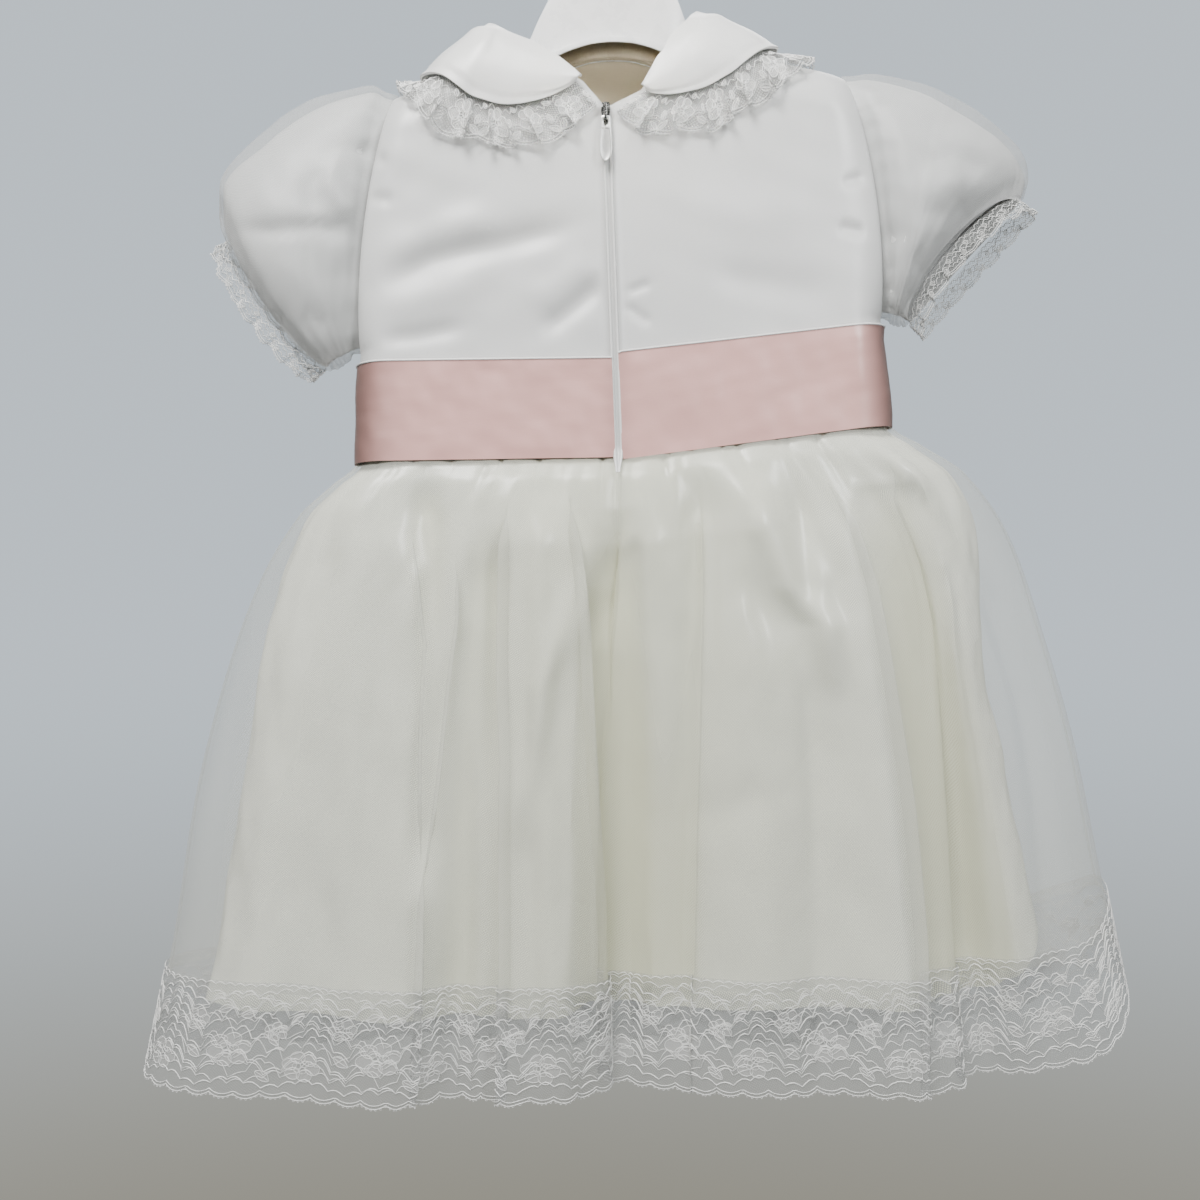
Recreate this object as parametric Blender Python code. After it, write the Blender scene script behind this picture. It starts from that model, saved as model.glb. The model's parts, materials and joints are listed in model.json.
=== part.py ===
"""A christening gown on its hanger, hung with the back to -Y.

Lengths in the tables are millimetres, turned to metres where a mesh is made.
+X is the wearer's right, +Y the wearer's front, +Z up. The origin is the top of the hook's inside,
which is what the rail or nail bears on.
"""

import math

import bmesh
import bpy
from mathutils import Vector

MM = 0.001

# ---------------------------------------------------------------- driving sizes

SATIN = 1.2            # wall of the bodice, sash and satin sleeves
SKIRT_SATIN = 1.0
NET = 0.8              # wall of the tulle, organza and lace
COLLAR_CLOTH = 1.4     # two layers of satin
SEAM_GAP = 0.3
LAYER_GAP = 0.5
COLLAR_GAP = 0.9           # between the bodice and the lace, and between the lace and the collar

LACE_HEM_HEIGHT = 57.0
LACE_OVERLAP = 6.0
SATIN_HEM_DOWN = 0.877     # the satin skirt ends at this share of the skirt's length
CUFF_LACE_WIDTH = 11.0
RUFFLE_DEPTH = 2.6
COLLAR_ROLL = 1.6          # the neck fold stands this far above the bodice's neck edge
COLLAR_BELLY = 1.8         # the collar swells this far between neck and edge
SHOULDER_LIFT = 2.4        # the lace stands off the bodice this much more over the shoulder
COLLAR_LIFT = 3.6          # and the collar this much

CHEST_DEPTH = 22.0         # centre of the hollow to the outside of the back
FRONT_DEPTH = 20.0
SHOULDER_ROLL = 26.0       # height over which a panel turns in to the shoulder seam
SIDE_ROLL = 0.14           # share of a panel's width that turns in to the side seam
ARMHOLE_DEPTH = 12.8       # half the armhole's width, front to back
ARMHOLE_BOW = 4.5

SKIRT_FLAT = 0.17          # share of the round that is the flat half of the back, or of the front
SKIRT_BOW = 4.0

ZIP_GAP = 3.3
ZIP_TAPE_WIDTH = 16.0
ZIP_TAPE_DEPTH = -19.4     # inner face of the tape
ZIP_TAPE_WALL = 1.0
ZIP_RIDGE_WIDTH = 2.0
ZIP_RIDGE_DEPTH = -21.6

SLIDER_X = -3.2
SLIDER_TOP = -160.2
SLIDER_LENGTH = 10.4
SLIDER_WIDTH = 4.6
SLIDER_BACK = -22.6
SLIDER_FACE = -25.4
BRIDGE_WIDTH = 1.3
BRIDGE_WALL = 0.9
BRIDGE_OUT = 3.6
PULL_WALL = 1.0
PULL_BAR = 0.8             # the tab's upper bar, which turns inside the bridge
PULL_EYE_WIDTH = 2.4
PULL_EYE_LENGTH = 4.6
PULL_PIVOT = (SLIDER_X, -27.0, -168.0)

HOOK_TUBE = 3.6
HOOK_RADIUS = 21.6
HANGER_WALL = 2.4
HANGER_CHAMFER = 2.0
HANGER_ROOF = -110.0       # the channel under the neck plate is no higher than this


# ---------------------------------------------------------------- tables


def table(columns, *rows):
    return [dict(zip(columns, row)) for row in rows]


# The round of the skirt, measured down from the waist seam.
SKIRT_ROUND = table(
    ("down", "left", "right", "back", "front", "cap"),
    (0.000, -130.0, 142.0, -21.2, 19.2, 26.0),
    (0.022, -130.4, 142.4, -21.6, 19.6, 27.0),
    (0.050, -141.0, 156.0, -25.5, 23.0, 34.0),
    (0.100, -160.0, 181.0, -29.5, 27.0, 46.0),
    (0.210, -180.0, 204.0, -32.0, 30.0, 58.0),
    (0.380, -199.0, 221.0, -33.5, 32.0, 64.0),
    (0.560, -213.0, 236.0, -33.5, 34.0, 68.0),
    (0.780, -224.0, 249.0, -32.0, 35.0, 70.0),
    (1.000, -238.0, 262.0, -31.0, 36.0, 72.0),
)

# Folds: where they lie on the round at the waist and the hem, how wide, how deep (out is positive).
SKIRT_FOLDS = table(
    ("fold", "at_waist", "at_hem", "width", "depth", "starts"),
    ("left roll", 0.205, 0.205, 0.050, 5.0, 0.05),
    ("left belly", 0.125, 0.117, 0.045, 8.0, 0.10),
    ("left dip", 0.094, 0.080, 0.018, -7.0, 0.08),
    ("left ridge", 0.086, 0.050, 0.020, 8.0, 0.03),
    ("back valley left", -0.002, 0.000, 0.022, -13.0, 0.10),
    ("back valley right", 0.985, 0.988, 0.034, -12.0, 0.16),
    ("right belly", 0.925, 0.925, 0.040, 5.0, 0.12),
    ("right ridge", 0.852, 0.862, 0.022, 5.0, 0.04),
    ("right valley", 0.832, 0.828, 0.034, -27.0, 0.10),
    ("right roll", 0.785, 0.780, 0.036, 6.0, 0.10),
    ("front right fold", 0.660, 0.660, 0.036, 6.0, 0.08),
    ("front right dip", 0.600, 0.595, 0.030, -8.0, 0.10),
    ("front fold", 0.535, 0.535, 0.036, 6.0, 0.08),
    ("front dip", 0.470, 0.475, 0.030, -8.0, 0.12),
    ("front left fold", 0.410, 0.405, 0.034, 6.0, 0.08),
    ("front left dip", 0.350, 0.345, 0.030, -8.0, 0.10),
)

HEM = table(
    ("around", "z"),
    (0.000, -651.6),
    (0.050, -653.4),
    (0.115, -655.0),
    (0.180, -652.0),
    (0.250, -650.0),
    (0.380, -648.0),
    (0.500, -650.0),
    (0.620, -649.0),
    (0.680, -636.0),
    (0.720, -612.0),
    (0.750, -602.0),
    (0.790, -634.0),
    (0.830, -649.0),
    (0.862, -651.0),
    (0.920, -649.4),
    (1.000, -651.6),
)

SASH = table(
    ("x", "top", "bottom"),
    (-131.0, -289.0, -338.7),
    (1.5, -287.3, -336.7),
    (4.8, -284.3, -337.7),
    (143.0, -268.5, -319.3),
)

WAIST = table(
    ("x", "z"),
    (-131.0, -332.7),
    (3.15, -331.4),
    (143.0, -313.3),
)

# The side of the bodice up from the waist seam (0) to the top of the shoulder (1).
BODICE_SIDE = table(
    ("up", "left", "right"),
    (-0.1, -131.0, 143.0),
    (0.00, -131.0, 143.0),
    (0.28, -129.4, 138.4),
    (1.00, -112.5, 120.6),
)

BACK_TOP = table(
    ("x", "z", "y"),
    (-112.5, -149.5, -0.15),
    (-95.0, -146.0, -0.15),
    (-80.0, -134.0, -0.15),
    (-62.0, -119.5, -0.15),
    (-55.0, -123.5, -10.0),
    (-42.0, -131.5, -16.5),
    (-28.0, -139.8, -20.0),
    (-14.5, -148.5, -22.0),
    (-4.6, -160.0, -22.0),
    (-1.6, -161.0, -22.0),
    (14.5, -153.0, -22.0),
    (25.5, -137.0, -21.0),
    (34.0, -126.0, -17.5),
    (40.0, -118.8, -12.0),
    (45.0, -113.5, -0.15),
    (83.0, -131.5, -0.15),
    (120.6, -139.5, -0.15),
)

FRONT_TOP = table(
    ("x", "z", "y"),
    (-112.5, -149.5, 0.15),
    (-95.0, -146.0, 0.15),
    (-80.0, -134.0, 0.15),
    (-62.0, -119.5, 0.15),
    (-55.0, -120.0, 8.0),
    (-45.0, -120.4, 14.0),
    (-20.0, -120.8, 18.0),
    (0.0, -120.8, 18.5),
    (18.0, -120.0, 18.0),
    (34.0, -117.8, 15.5),
    (40.0, -116.2, 11.5),
    (45.0, -113.5, 0.15),
    (83.0, -131.5, 0.15),
    (120.6, -139.5, 0.15),
)

SLEEVE_COLUMNS = ("along", "top_x", "top_z", "low_x", "low_z", "depth", "near", "bow")
SLEEVES = {
    "left": table(
        SLEEVE_COLUMNS,
        (0.00, -113.1, -147.5, -130.0, -281.0, 13.0, 0.0, 4.5),
        (0.12, -122.5, -141.8, -133.5, -284.0, 20.0, 0.0, 4.0),
        (0.35, -152.0, -149.5, -137.0, -286.6, 27.0, 1.0, 3.0),
        (0.60, -182.0, -170.0, -140.0, -288.4, 29.0, 3.0, 0.0),
        (0.80, -202.0, -192.0, -142.0, -289.4, 25.0, 6.0, 0.0),
        (0.92, -201.5, -208.0, -143.4, -289.8, 18.0, 8.0, 0.0),
        (1.00, -196.0, -219.0, -144.6, -290.0, 13.0, 9.0, 0.0),
    ),
    "right": table(
        SLEEVE_COLUMNS,
        (0.00, 121.2, -137.5, 139.4, -262.5, 13.0, 0.0, 4.5),
        (0.12, 131.0, -135.0, 142.0, -264.0, 20.0, -1.0, 4.0),
        (0.35, 161.0, -141.5, 145.0, -265.6, 27.0, -5.0, 3.0),
        (0.60, 190.0, -157.0, 147.6, -266.6, 29.0, -10.0, 0.0),
        (0.80, 211.0, -176.0, 149.6, -267.2, 25.0, -12.5, 0.0),
        (0.92, 216.0, -190.0, 151.0, -267.4, 18.5, -12.5, 0.0),
        (1.00, 213.0, -201.0, 152.2, -267.4, 14.0, -12.0, 0.0),
    ),
}

# From the centre back (0) over the shoulder (0.5) to the centre front (1), as (x, z) on the bodice:
# the rolled neck edge, the collar's outer edge and the lace's outer edge.
COLLAR_STATIONS = (
    0.0, 0.03, 0.06, 0.105, 0.15, 0.20, 0.25, 0.30, 0.34, 0.38, 0.42, 0.44, 0.46, 0.475, 0.49,
    0.50, 0.51, 0.525, 0.54, 0.58, 0.62, 0.66, 0.70, 0.75, 0.80, 0.85, 0.90, 0.95, 1.0,
)
COLLAR_COLUMNS = ("along", "neck", "edge", "lace")
COLLARS = {
    "left": table(
        COLLAR_COLUMNS,
        (0.00, (-14.5, -147.0), (-17.5, -149.8), (-6.4, -160.5)),
        (0.06, (-19.0, -144.5), (-23.5, -154.0), (-10.5, -166.0)),
        (0.15, (-27.5, -139.0), (-34.0, -158.5), (-21.0, -175.0)),
        (0.30, (-42.0, -130.5), (-52.0, -161.5), (-46.0, -183.0)),
        (0.42, (-54.0, -123.0), (-70.0, -157.0), (-76.0, -179.0)),
        (0.46, (-59.0, -119.5), (-82.0, -149.0), (-96.0, -167.0)),
        (0.50, (-62.0, -119.5), (-94.0, -145.2), (-109.0, -148.8)),
        (0.54, (-59.0, -119.5), (-82.0, -149.0), (-94.0, -168.0)),
        (0.58, (-54.0, -120.2), (-70.0, -155.0), (-76.0, -178.0)),
        (0.75, (-30.0, -120.7), (-42.0, -155.0), (-42.0, -176.0)),
        (1.00, (-2.5, -120.8), (-3.5, -144.0), (-3.5, -163.0)),
    ),
    "right": table(
        COLLAR_COLUMNS,
        (0.00, (14.2, -152.0), (16.5, -154.0), (1.2, -163.5)),
        (0.06, (16.8, -149.0), (20.5, -156.0), (6.0, -170.0)),
        (0.15, (20.6, -143.5), (27.0, -156.5), (17.0, -176.0)),
        (0.30, (29.5, -132.0), (43.7, -153.5), (47.0, -175.0)),
        (0.42, (38.5, -119.5), (61.0, -144.3), (68.0, -163.5)),
        (0.46, (42.5, -115.5), (72.0, -136.5), (86.0, -152.5)),
        (0.50, (45.0, -113.5), (82.5, -131.3), (104.0, -136.0)),
        (0.54, (42.5, -115.5), (72.0, -137.0), (86.0, -154.0)),
        (0.58, (38.5, -116.8), (61.0, -144.0), (68.0, -164.0)),
        (0.75, (22.0, -119.6), (36.0, -152.0), (36.0, -173.0)),
        (1.00, (2.5, -120.8), (3.5, -144.0), (3.5, -163.0)),
    ),
}

# Half the pull tab's width, down from its top.
PULL = table(
    ("down", "half"),
    (0.0, 0.0),
    (0.0, 1.6),
    (0.5, 2.15),
    (3.0, 2.25),
    (7.0, 2.35),
    (11.0, 2.7),
    (15.0, 2.98),
    (18.5, 2.8),
    (21.0, 1.9),
    (22.2, 0.9),
    (22.5, 0.0),
)

HANGER = table(
    ("x", "top", "bottom", "depth"),
    (-104.0, -152.0, -160.0, 5.0),
    (-95.0, -150.0, -161.0, 7.5),
    (-80.0, -138.6, -156.0, 9.0),
    (-66.0, -126.8, -150.0, 9.0),
    (-56.0, -125.5, -147.5, 9.0),
    (-46.0, -126.5, -145.0, 9.0),
    (-44.0, -125.5, -144.0, 9.0),
    (-38.0, -114.0, -139.5, 10.5),
    (-32.4, -103.5, -134.8, 12.0),
    (-26.0, -93.5, -131.2, 12.5),
    (-18.0, -87.2, -128.0, 12.5),
    (-9.0, -86.0, -125.6, 12.5),
    (0.0, -86.0, -124.8, 12.5),
    (9.0, -86.0, -125.2, 12.5),
    (18.0, -87.2, -127.2, 12.5),
    (27.0, -93.5, -130.6, 12.5),
    (33.6, -103.5, -134.0, 11.5),
    (39.0, -116.0, -137.5, 9.0),
    (42.0, -119.0, -139.0, 7.5),
    (45.0, -120.0, -140.5, 7.5),
    (56.0, -123.0, -143.5, 8.0),
    (83.0, -135.8, -152.0, 9.0),
    (100.0, -139.6, -152.5, 7.5),
    (112.0, -142.2, -151.0, 5.0),
)


# ---------------------------------------------------------------- reading the tables


def bracket(rows, key, value):
    """The two rows around a value, and how far it lies between them."""
    last = len(rows) - 1
    index = 0
    while index < last - 1 and value > rows[index + 1][key]:
        index += 1
    low, high = rows[index], rows[index + 1]
    share = (value - low[key]) / (high[key] - low[key])
    return index, min(max(share, 0.0), 1.0)


def read(rows, key, value, column):
    index, share = bracket(rows, key, value)
    low, high = rows[index][column], rows[index + 1][column]
    if isinstance(low, tuple):
        return Vector(low).lerp(Vector(high), share)
    return low + (high - low) * share


def read_smooth(rows, key, value, column):
    """A curve through the rows that never overshoots them."""
    index, share = bracket(rows, key, value)
    before, after = max(index - 1, 0), min(index + 2, len(rows) - 1)

    def slope(a, b):
        return (rows[b][column] - rows[a][column]) / max(rows[b][key] - rows[a][key], 1e-9)

    here = slope(index, index + 1)
    start = slope(before, index) if before < index else here
    end = slope(index + 1, after) if after > index + 1 else here
    start = 0.0 if start * here <= 0 else 2 * start * here / (start + here)
    end = 0.0 if end * here <= 0 else 2 * end * here / (end + here)
    span = rows[index + 1][key] - rows[index][key]
    low, high = rows[index][column], rows[index + 1][column]
    s2, s3 = share * share, share ** 3
    return (
        (2 * s3 - 3 * s2 + 1) * low
        + (s3 - 2 * s2 + share) * span * start
        + (3 * s2 - 2 * s3) * high
        + (s3 - s2) * span * end
    )


def even(count):
    """count steps from 0 to 1, both ends in."""
    return [k / count for k in range(count + 1)]


def mix(a, b, share):
    return a + (b - a) * share


def quarter_roll(share):
    """0 to 1 along a quarter of an ellipse, flat at first and square at the end."""
    share = min(max(share, 0.0), 1.0)
    return 1.0 - math.sqrt(1.0 - share * share)


def waist_height(x):
    return read(WAIST, "x", x, "z")


def centre_back(height):
    """X of the closed zip, and of the seam below it, at this height."""
    top, waist, hem = -160.0, -331.0, -651.0
    if height > waist:
        return mix(-3.1, 3.15, (top - height) / (top - waist))
    return mix(3.15, -3.6, (waist - height) / (waist - hem))


# ---------------------------------------------------------------- surfaces of the garment


def skirt_round(around, down):
    """A point of the skirt's round without its folds, and the way out of it."""
    left = around <= 0.5
    turn = around if left else 1.0 - around
    middle_x = mix(3.15, -3.6, down)
    if left:
        reach = middle_x - read_smooth(SKIRT_ROUND, "down", down, "left")
    else:
        reach = read_smooth(SKIRT_ROUND, "down", down, "right") - middle_x
    back = read_smooth(SKIRT_ROUND, "down", down, "back")
    front = read_smooth(SKIRT_ROUND, "down", down, "front")
    cap = read_smooth(SKIRT_ROUND, "down", down, "cap")
    straight = reach - cap
    if turn <= SKIRT_FLAT:
        out, y, normal = straight * turn / SKIRT_FLAT, back, Vector((0.0, -1.0))
    elif turn < 0.5 - SKIRT_FLAT:
        angle = math.pi * (turn - SKIRT_FLAT) / (0.5 - 2 * SKIRT_FLAT)
        half = (front - back) / 2
        out = straight + cap * math.sin(angle)
        y = (front + back) / 2 - half * math.cos(angle)
        normal = Vector((half * math.sin(angle), -cap * math.cos(angle))).normalized()
    else:
        out, y, normal = straight * (0.5 - turn) / SKIRT_FLAT, front, Vector((0.0, 1.0))
    bow = SKIRT_BOW * (1.0 - (out / reach) ** 2) * min(down / 0.15, 1.0)
    y += bow * (1.0 if turn > 0.25 else -1.0)
    if left:
        out, normal.x = -out, -normal.x
    return Vector((middle_x + out, y)), normal


def fold_height(around, down):
    total = 0.0
    for row in SKIRT_FOLDS:
        if down <= row["starts"]:
            continue
        middle = mix(row["at_waist"], row["at_hem"], down)
        offset = (around - middle + 0.5) % 1.0 - 0.5
        if abs(offset) < row["width"]:
            grown = (down - row["starts"]) / (1.0 - row["starts"])
            total += row["depth"] * grown ** 0.7 * math.cos(math.pi / 2 * offset / row["width"]) ** 2
    return total


def skirt_point(around, down, out=0.0):
    spot, normal = skirt_round(around, down)
    spot += normal * (fold_height(around, down) + out)
    waist_spot, _ = skirt_round(around, 0.0)
    top = waist_height(waist_spot.x) - LAYER_GAP
    bottom = read_smooth(HEM, "around", around % 1.0, "z")
    return Vector((spot.x, spot.y, mix(top, bottom, down)))


def satin_skirt_point(around, down):
    """The satin skirt hangs inside the tulle, further in at the sides and towards the hem."""
    side = 1.0 - abs(abs(around - 0.5) - 0.25) / 0.25
    inset = mix(2.0, mix(5.5, 10.0, side), min(down / 0.6, 1.0))
    return skirt_point(around, down, -inset)


def bodice_side_x(side, up):
    """The side seam, then the armhole's edge, which bows out from the straight."""
    underarm = BODICE_SIDE[2]["up"]
    x = read(BODICE_SIDE, "up", up, side)
    if up > underarm:
        share = (up - underarm) / (1.0 - underarm)
        bow = ARMHOLE_BOW * 4 * share * (1.0 - share)
        x += -bow if side == "left" else bow
    return x


def bodice_side_y(up):
    underarm = BODICE_SIDE[2]["up"]
    middle, half = (1.0 + underarm) / 2, (1.0 - underarm) / 2
    share = min(abs(up - middle) / half, 1.0)
    return max(ARMHOLE_DEPTH * math.sqrt(1.0 - share * share), SEAM_GAP / 2)


def bodice_depth(u_side, up, side_y, top_y, height, depth):
    """Distance from the middle plane: flat, rolled in to the side and up to the neck or shoulder."""
    y = mix(depth, side_y, quarter_roll((u_side - 1.0 + SIDE_ROLL) / SIDE_ROLL))
    roll_starts = 1.0 - SHOULDER_ROLL / height
    return mix(y, top_y, quarter_roll((up - roll_starts) / (1.0 - roll_starts)))


def bodice_back_point(side, across, up):
    """across runs from the zip (0) to the side (1), up from the waist seam (0) to the top edge (1)."""
    half_gap = ZIP_GAP / 2 if side == "right" else -ZIP_GAP / 2
    side_x = bodice_side_x(side, up)
    middle_x = centre_back(mix(-331.0, -160.0, min(max(up, 0.0), 1.0))) + half_gap
    x = mix(middle_x, side_x, across)
    edge_x = mix(centre_back(-160.0) + half_gap, bodice_side_x(side, 1.0), across)
    top_z, top_y = (read(BACK_TOP, "x", edge_x, column) for column in ("z", "y"))
    bottom_z = waist_height(x)
    y = bodice_depth(across, up, bodice_side_y(up), -top_y, top_z - bottom_z, CHEST_DEPTH)
    return Vector((x, -y, mix(bottom_z, top_z, up)))


def bodice_front_point(across, up):
    """across runs from the left side (0) to the right side (1)."""
    left, right = bodice_side_x("left", up), bodice_side_x("right", up)
    x = mix(left, right, across)
    edge_x = mix(bodice_side_x("left", 1.0), bodice_side_x("right", 1.0), across)
    top_z, top_y = (read(FRONT_TOP, "x", edge_x, column) for column in ("z", "y"))
    bottom_z = waist_height(x)
    to_side = abs(across - 0.5) * 2
    y = bodice_depth(to_side, up, bodice_side_y(up), top_y, top_z - bottom_z, FRONT_DEPTH)
    return Vector((x, y, mix(bottom_z, top_z, up)))


def way_out_of(point, closed=False, flip=False, step=0.004):
    """The surface's outward normal as a function of (u, v), from differences that stay on it."""

    def way_out(u, v):
        v0, v1 = max(v - step, 0.0), min(v + step, 1.0)
        if closed:
            along_u = point((u + step) % 1.0, v) - point((u - step) % 1.0, v)
        else:
            along_u = point(min(u + step, 1.0), v) - point(max(u - step, 0.0), v)
        normal = along_u.cross(point(u, v1) - point(u, v0)).normalized()
        return -normal if flip else normal

    return way_out


def moved_out(point, way_out, distance):
    return lambda u, v: point(u, v) + way_out(u, v) * distance


def sash_point(panel, across, up):
    """A point of the bodice at the sash's own height, not yet moved out."""
    x = panel(across, 0.1).x
    low, high = read(SASH, "x", x, "bottom"), read(SASH, "x", x, "top")
    waist = panel(across, 0.0).z
    reach = panel(across, 0.5).z - waist
    return panel(across, 0.5 * (mix(low, high, up) - waist) / reach)


def sleeve_point(side, around, along, shrink):
    """around 0 is the top, 0.25 the near (back) side, 0.5 the underarm."""
    rows = SLEEVES[side]
    value = {key: read_smooth(rows, "along", along, key) for key in SLEEVE_COLUMNS[1:]}
    angle = 2 * math.pi * around
    top = Vector((value["top_x"], value["top_z"]))
    low = Vector((value["low_x"], value["low_z"]))
    down = (low - top).normalized()
    outward = Vector((down.y, -down.x)) if side == "left" else Vector((-down.y, down.x))
    half = (low - top).length / 2 - shrink
    share = (1.0 - math.cos(angle)) / 2
    spot = (top + low) / 2 - down * half * math.cos(angle)
    near = value["near"] - 0.6 * shrink * min(abs(value["near"]) / 5.0, 1.0)
    spot += outward * (value["bow"] * 4 * share * (1.0 - share) + near * max(math.sin(angle), 0.0))
    return Vector((spot.x, -(value["depth"] - shrink) * math.sin(angle), spot.y))


def cuff_lace_point(side, around, out):
    """The lace runs on from the end of the sleeve, in the way the cuff faces."""
    edge = sleeve_point(side, around, 1.0, 1.4)
    last = SLEEVES[side][-1]
    down = Vector((last["low_x"] - last["top_x"], last["low_z"] - last["top_z"])).normalized()
    outward = Vector((down.y, -down.x)) if side == "left" else Vector((-down.y, down.x))
    reach = NET + LAYER_GAP + CUFF_LACE_WIDTH * out
    return edge + Vector((outward.x, 0.0, outward.y)) * reach


def on_bodice(side, half, spot):
    """The place on the bodice over (x, z) and the way out of it; past the top edge it stays on that edge."""
    x, z = spot
    if half == "back":
        def panel(u, v):
            return bodice_back_point(side, u, v)
        way_out = way_out_of(panel, flip=side == "left")
    else:
        panel = bodice_front_point
        way_out = way_out_of(panel, flip=True)
    across, up = 0.5, 0.9
    for _ in range(12):
        low, high = panel(across, 0.0), panel(across, 1.0)
        up = min(max((z - low.z) / (high.z - low.z), 0.0), 1.0)
        start, end = panel(0.0, up), panel(1.0, up)
        across = min(max((x - start.x) / (end.x - start.x), 0.0), 1.0)
    return panel(across, up), way_out(across, up)


def collar_bed(side, along, across, first, second):
    """Between two lines of the collar's table, laid on the bodice."""
    half = "back" if along <= 0.5 else "front"
    start = read(COLLARS[side], "along", along, first)
    end = read(COLLARS[side], "along", along, second)
    return on_bodice(side, half, start.lerp(end, across))


def over_shoulder(along):
    """1 on the shoulder seam, fading to 0 on both sides of it."""
    return max(1.0 - abs(along - 0.5) / 0.08, 0.0)


def collar_point(side, along, across):
    spot, out = collar_bed(side, along, across, "neck", "edge")
    distance = NET + 2 * COLLAR_GAP + COLLAR_CLOTH + COLLAR_BELLY * math.sin(math.pi * across)
    distance += COLLAR_LIFT * over_shoulder(along)
    return spot + out * distance + Vector((0.0, 0.0, COLLAR_ROLL * (1.0 - across) ** 2))


def collar_lace_point(side, along, across):
    """A gathered strip from under the collar's edge, waving more towards its free edge."""
    under_collar = 0.12
    spot, out = collar_bed(side, along, mix(-under_collar, 1.0, across), "edge", "lace")
    nearest = min(range(len(COLLAR_STATIONS)), key=lambda k: abs(COLLAR_STATIONS[k] - along))
    flat = over_shoulder(along)
    wave = RUFFLE_DEPTH * across * (1.0 - flat) if nearest % 2 else 0.0
    return spot + out * (NET + COLLAR_GAP + wave + SHOULDER_LIFT * flat)


# ---------------------------------------------------------------- meshes


def finish(name, mesh_data, material, location=(0.0, 0.0, 0.0)):
    mesh = bpy.data.meshes.new(name)
    mesh_data.to_mesh(mesh)
    mesh_data.free()
    mesh.materials.append(material)
    mesh.shade_smooth()
    mesh.set_sharp_from_angle(angle=math.radians(40))
    piece = bpy.data.objects.new(name, mesh)
    piece.location = location
    bpy.context.scene.collection.objects.link(piece)
    return piece


def wall(name, point, way_out, columns, rows, thickness, material, closed=False, half=0):
    """A cloth wall: the outside from point(u, v), the inside moved in, and its edges closed.

    columns and rows are the places of u and v. A panel that is all on one side of the middle plane
    gives half as -1 (back) or 1 (front), and its inside stays there.
    """
    data = bmesh.new()
    outer, inner = [], []
    for u in columns:
        for v in rows:
            spot = point(u, v)
            inside = spot - way_out(u, v) * thickness
            if half:
                inside.y = half * max(half * inside.y, SEAM_GAP / 2)
            outer.append(data.verts.new(spot * MM))
            inner.append(data.verts.new(inside * MM))
    wide, high = len(columns), len(rows)

    def corner(side, i, j):
        return side[(i % wide) * high + j]

    for i in range(wide if closed else wide - 1):
        for j in range(high - 1):
            for side in (outer, inner):
                data.faces.new([corner(side, i + a, j + b) for a, b in ((0, 0), (1, 0), (1, 1), (0, 1))])
        for j in (0, high - 1):
            data.faces.new([
                corner(outer, i, j), corner(outer, i + 1, j), corner(inner, i + 1, j), corner(inner, i, j),
            ])
    if not closed:
        for j in range(high - 1):
            for i in (0, wide - 1):
                data.faces.new([
                    corner(outer, i, j), corner(outer, i, j + 1), corner(inner, i, j + 1), corner(inner, i, j),
                ])
    bmesh.ops.recalc_face_normals(data, faces=data.faces[:])
    return finish(name, data, material)


def loft(name, sections, material):
    """A solid through closed outlines with the same number of points, capped at both ends."""
    data = bmesh.new()
    rings = [[data.verts.new(Vector(spot) * MM) for spot in section] for section in sections]
    size = len(rings[0])
    for first, second in zip(rings, rings[1:]):
        for i in range(size):
            k = (i + 1) % size
            data.faces.new([first[i], first[k], second[k], second[i]])
    data.faces.new(rings[0])
    data.faces.new(rings[-1])
    bmesh.ops.recalc_face_normals(data, faces=data.faces[:])
    return finish(name, data, material)


def make_material(name, colour, roughness, metallic=0.0):
    material = bpy.data.materials.new(name)
    material.use_nodes = True
    shader = material.node_tree.nodes["Principled BSDF"]
    shader.inputs["Base Color"].default_value = (*colour, 1.0)
    shader.inputs["Roughness"].default_value = roughness
    shader.inputs["Metallic"].default_value = metallic
    return material


# ---------------------------------------------------------------- pieces


SKIRT_PANELS = (
    ("back_left", 0.0, 0.25, 16, 12),
    ("front", 0.25, 0.75, 22, 16),
    ("back_right", 0.75, 1.0, 16, 12),
)
SEAM_MARGIN = 0.0004       # share of the round left open at each side of a seam
SKIRT_ROWS = (0.0, 0.022, 0.06, 0.12, 0.22, 0.40, 0.62, 0.77)


def build_skirt(satin, tulle, lace):
    length = waist_height(0.0) - read_smooth(HEM, "around", 0.0, "z")
    lace_top = 1.0 - LACE_HEM_HEIGHT / length
    tulle_end = lace_top + LACE_OVERLAP / length
    tulle_out = way_out_of(skirt_point, closed=True)
    satin_out = way_out_of(satin_skirt_point, closed=True)
    lace_columns = []
    for panel, start, end, tulle_columns, satin_columns in SKIRT_PANELS:
        first, last = start + SEAM_MARGIN, end - SEAM_MARGIN
        tulle_places = [mix(first, last, share) for share in even(tulle_columns)]
        satin_places = [mix(first, last, share) for share in even(satin_columns)]
        lace_columns += tulle_places
        wall(
            f"skirt_tulle_{panel}", skirt_point, tulle_out,
            tulle_places, (*SKIRT_ROWS, lace_top, tulle_end), NET, tulle,
        )
        wall(
            f"skirt_satin_{panel}", satin_skirt_point, satin_out,
            satin_places, (*SKIRT_ROWS[:-1], SATIN_HEM_DOWN), SKIRT_SATIN, satin,
        )
    hem_point = moved_out(skirt_point, tulle_out, NET + LAYER_GAP)
    wall("hem_lace", hem_point, tulle_out, lace_columns, (lace_top, tulle_end, 1.0), NET, lace, closed=True)


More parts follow.
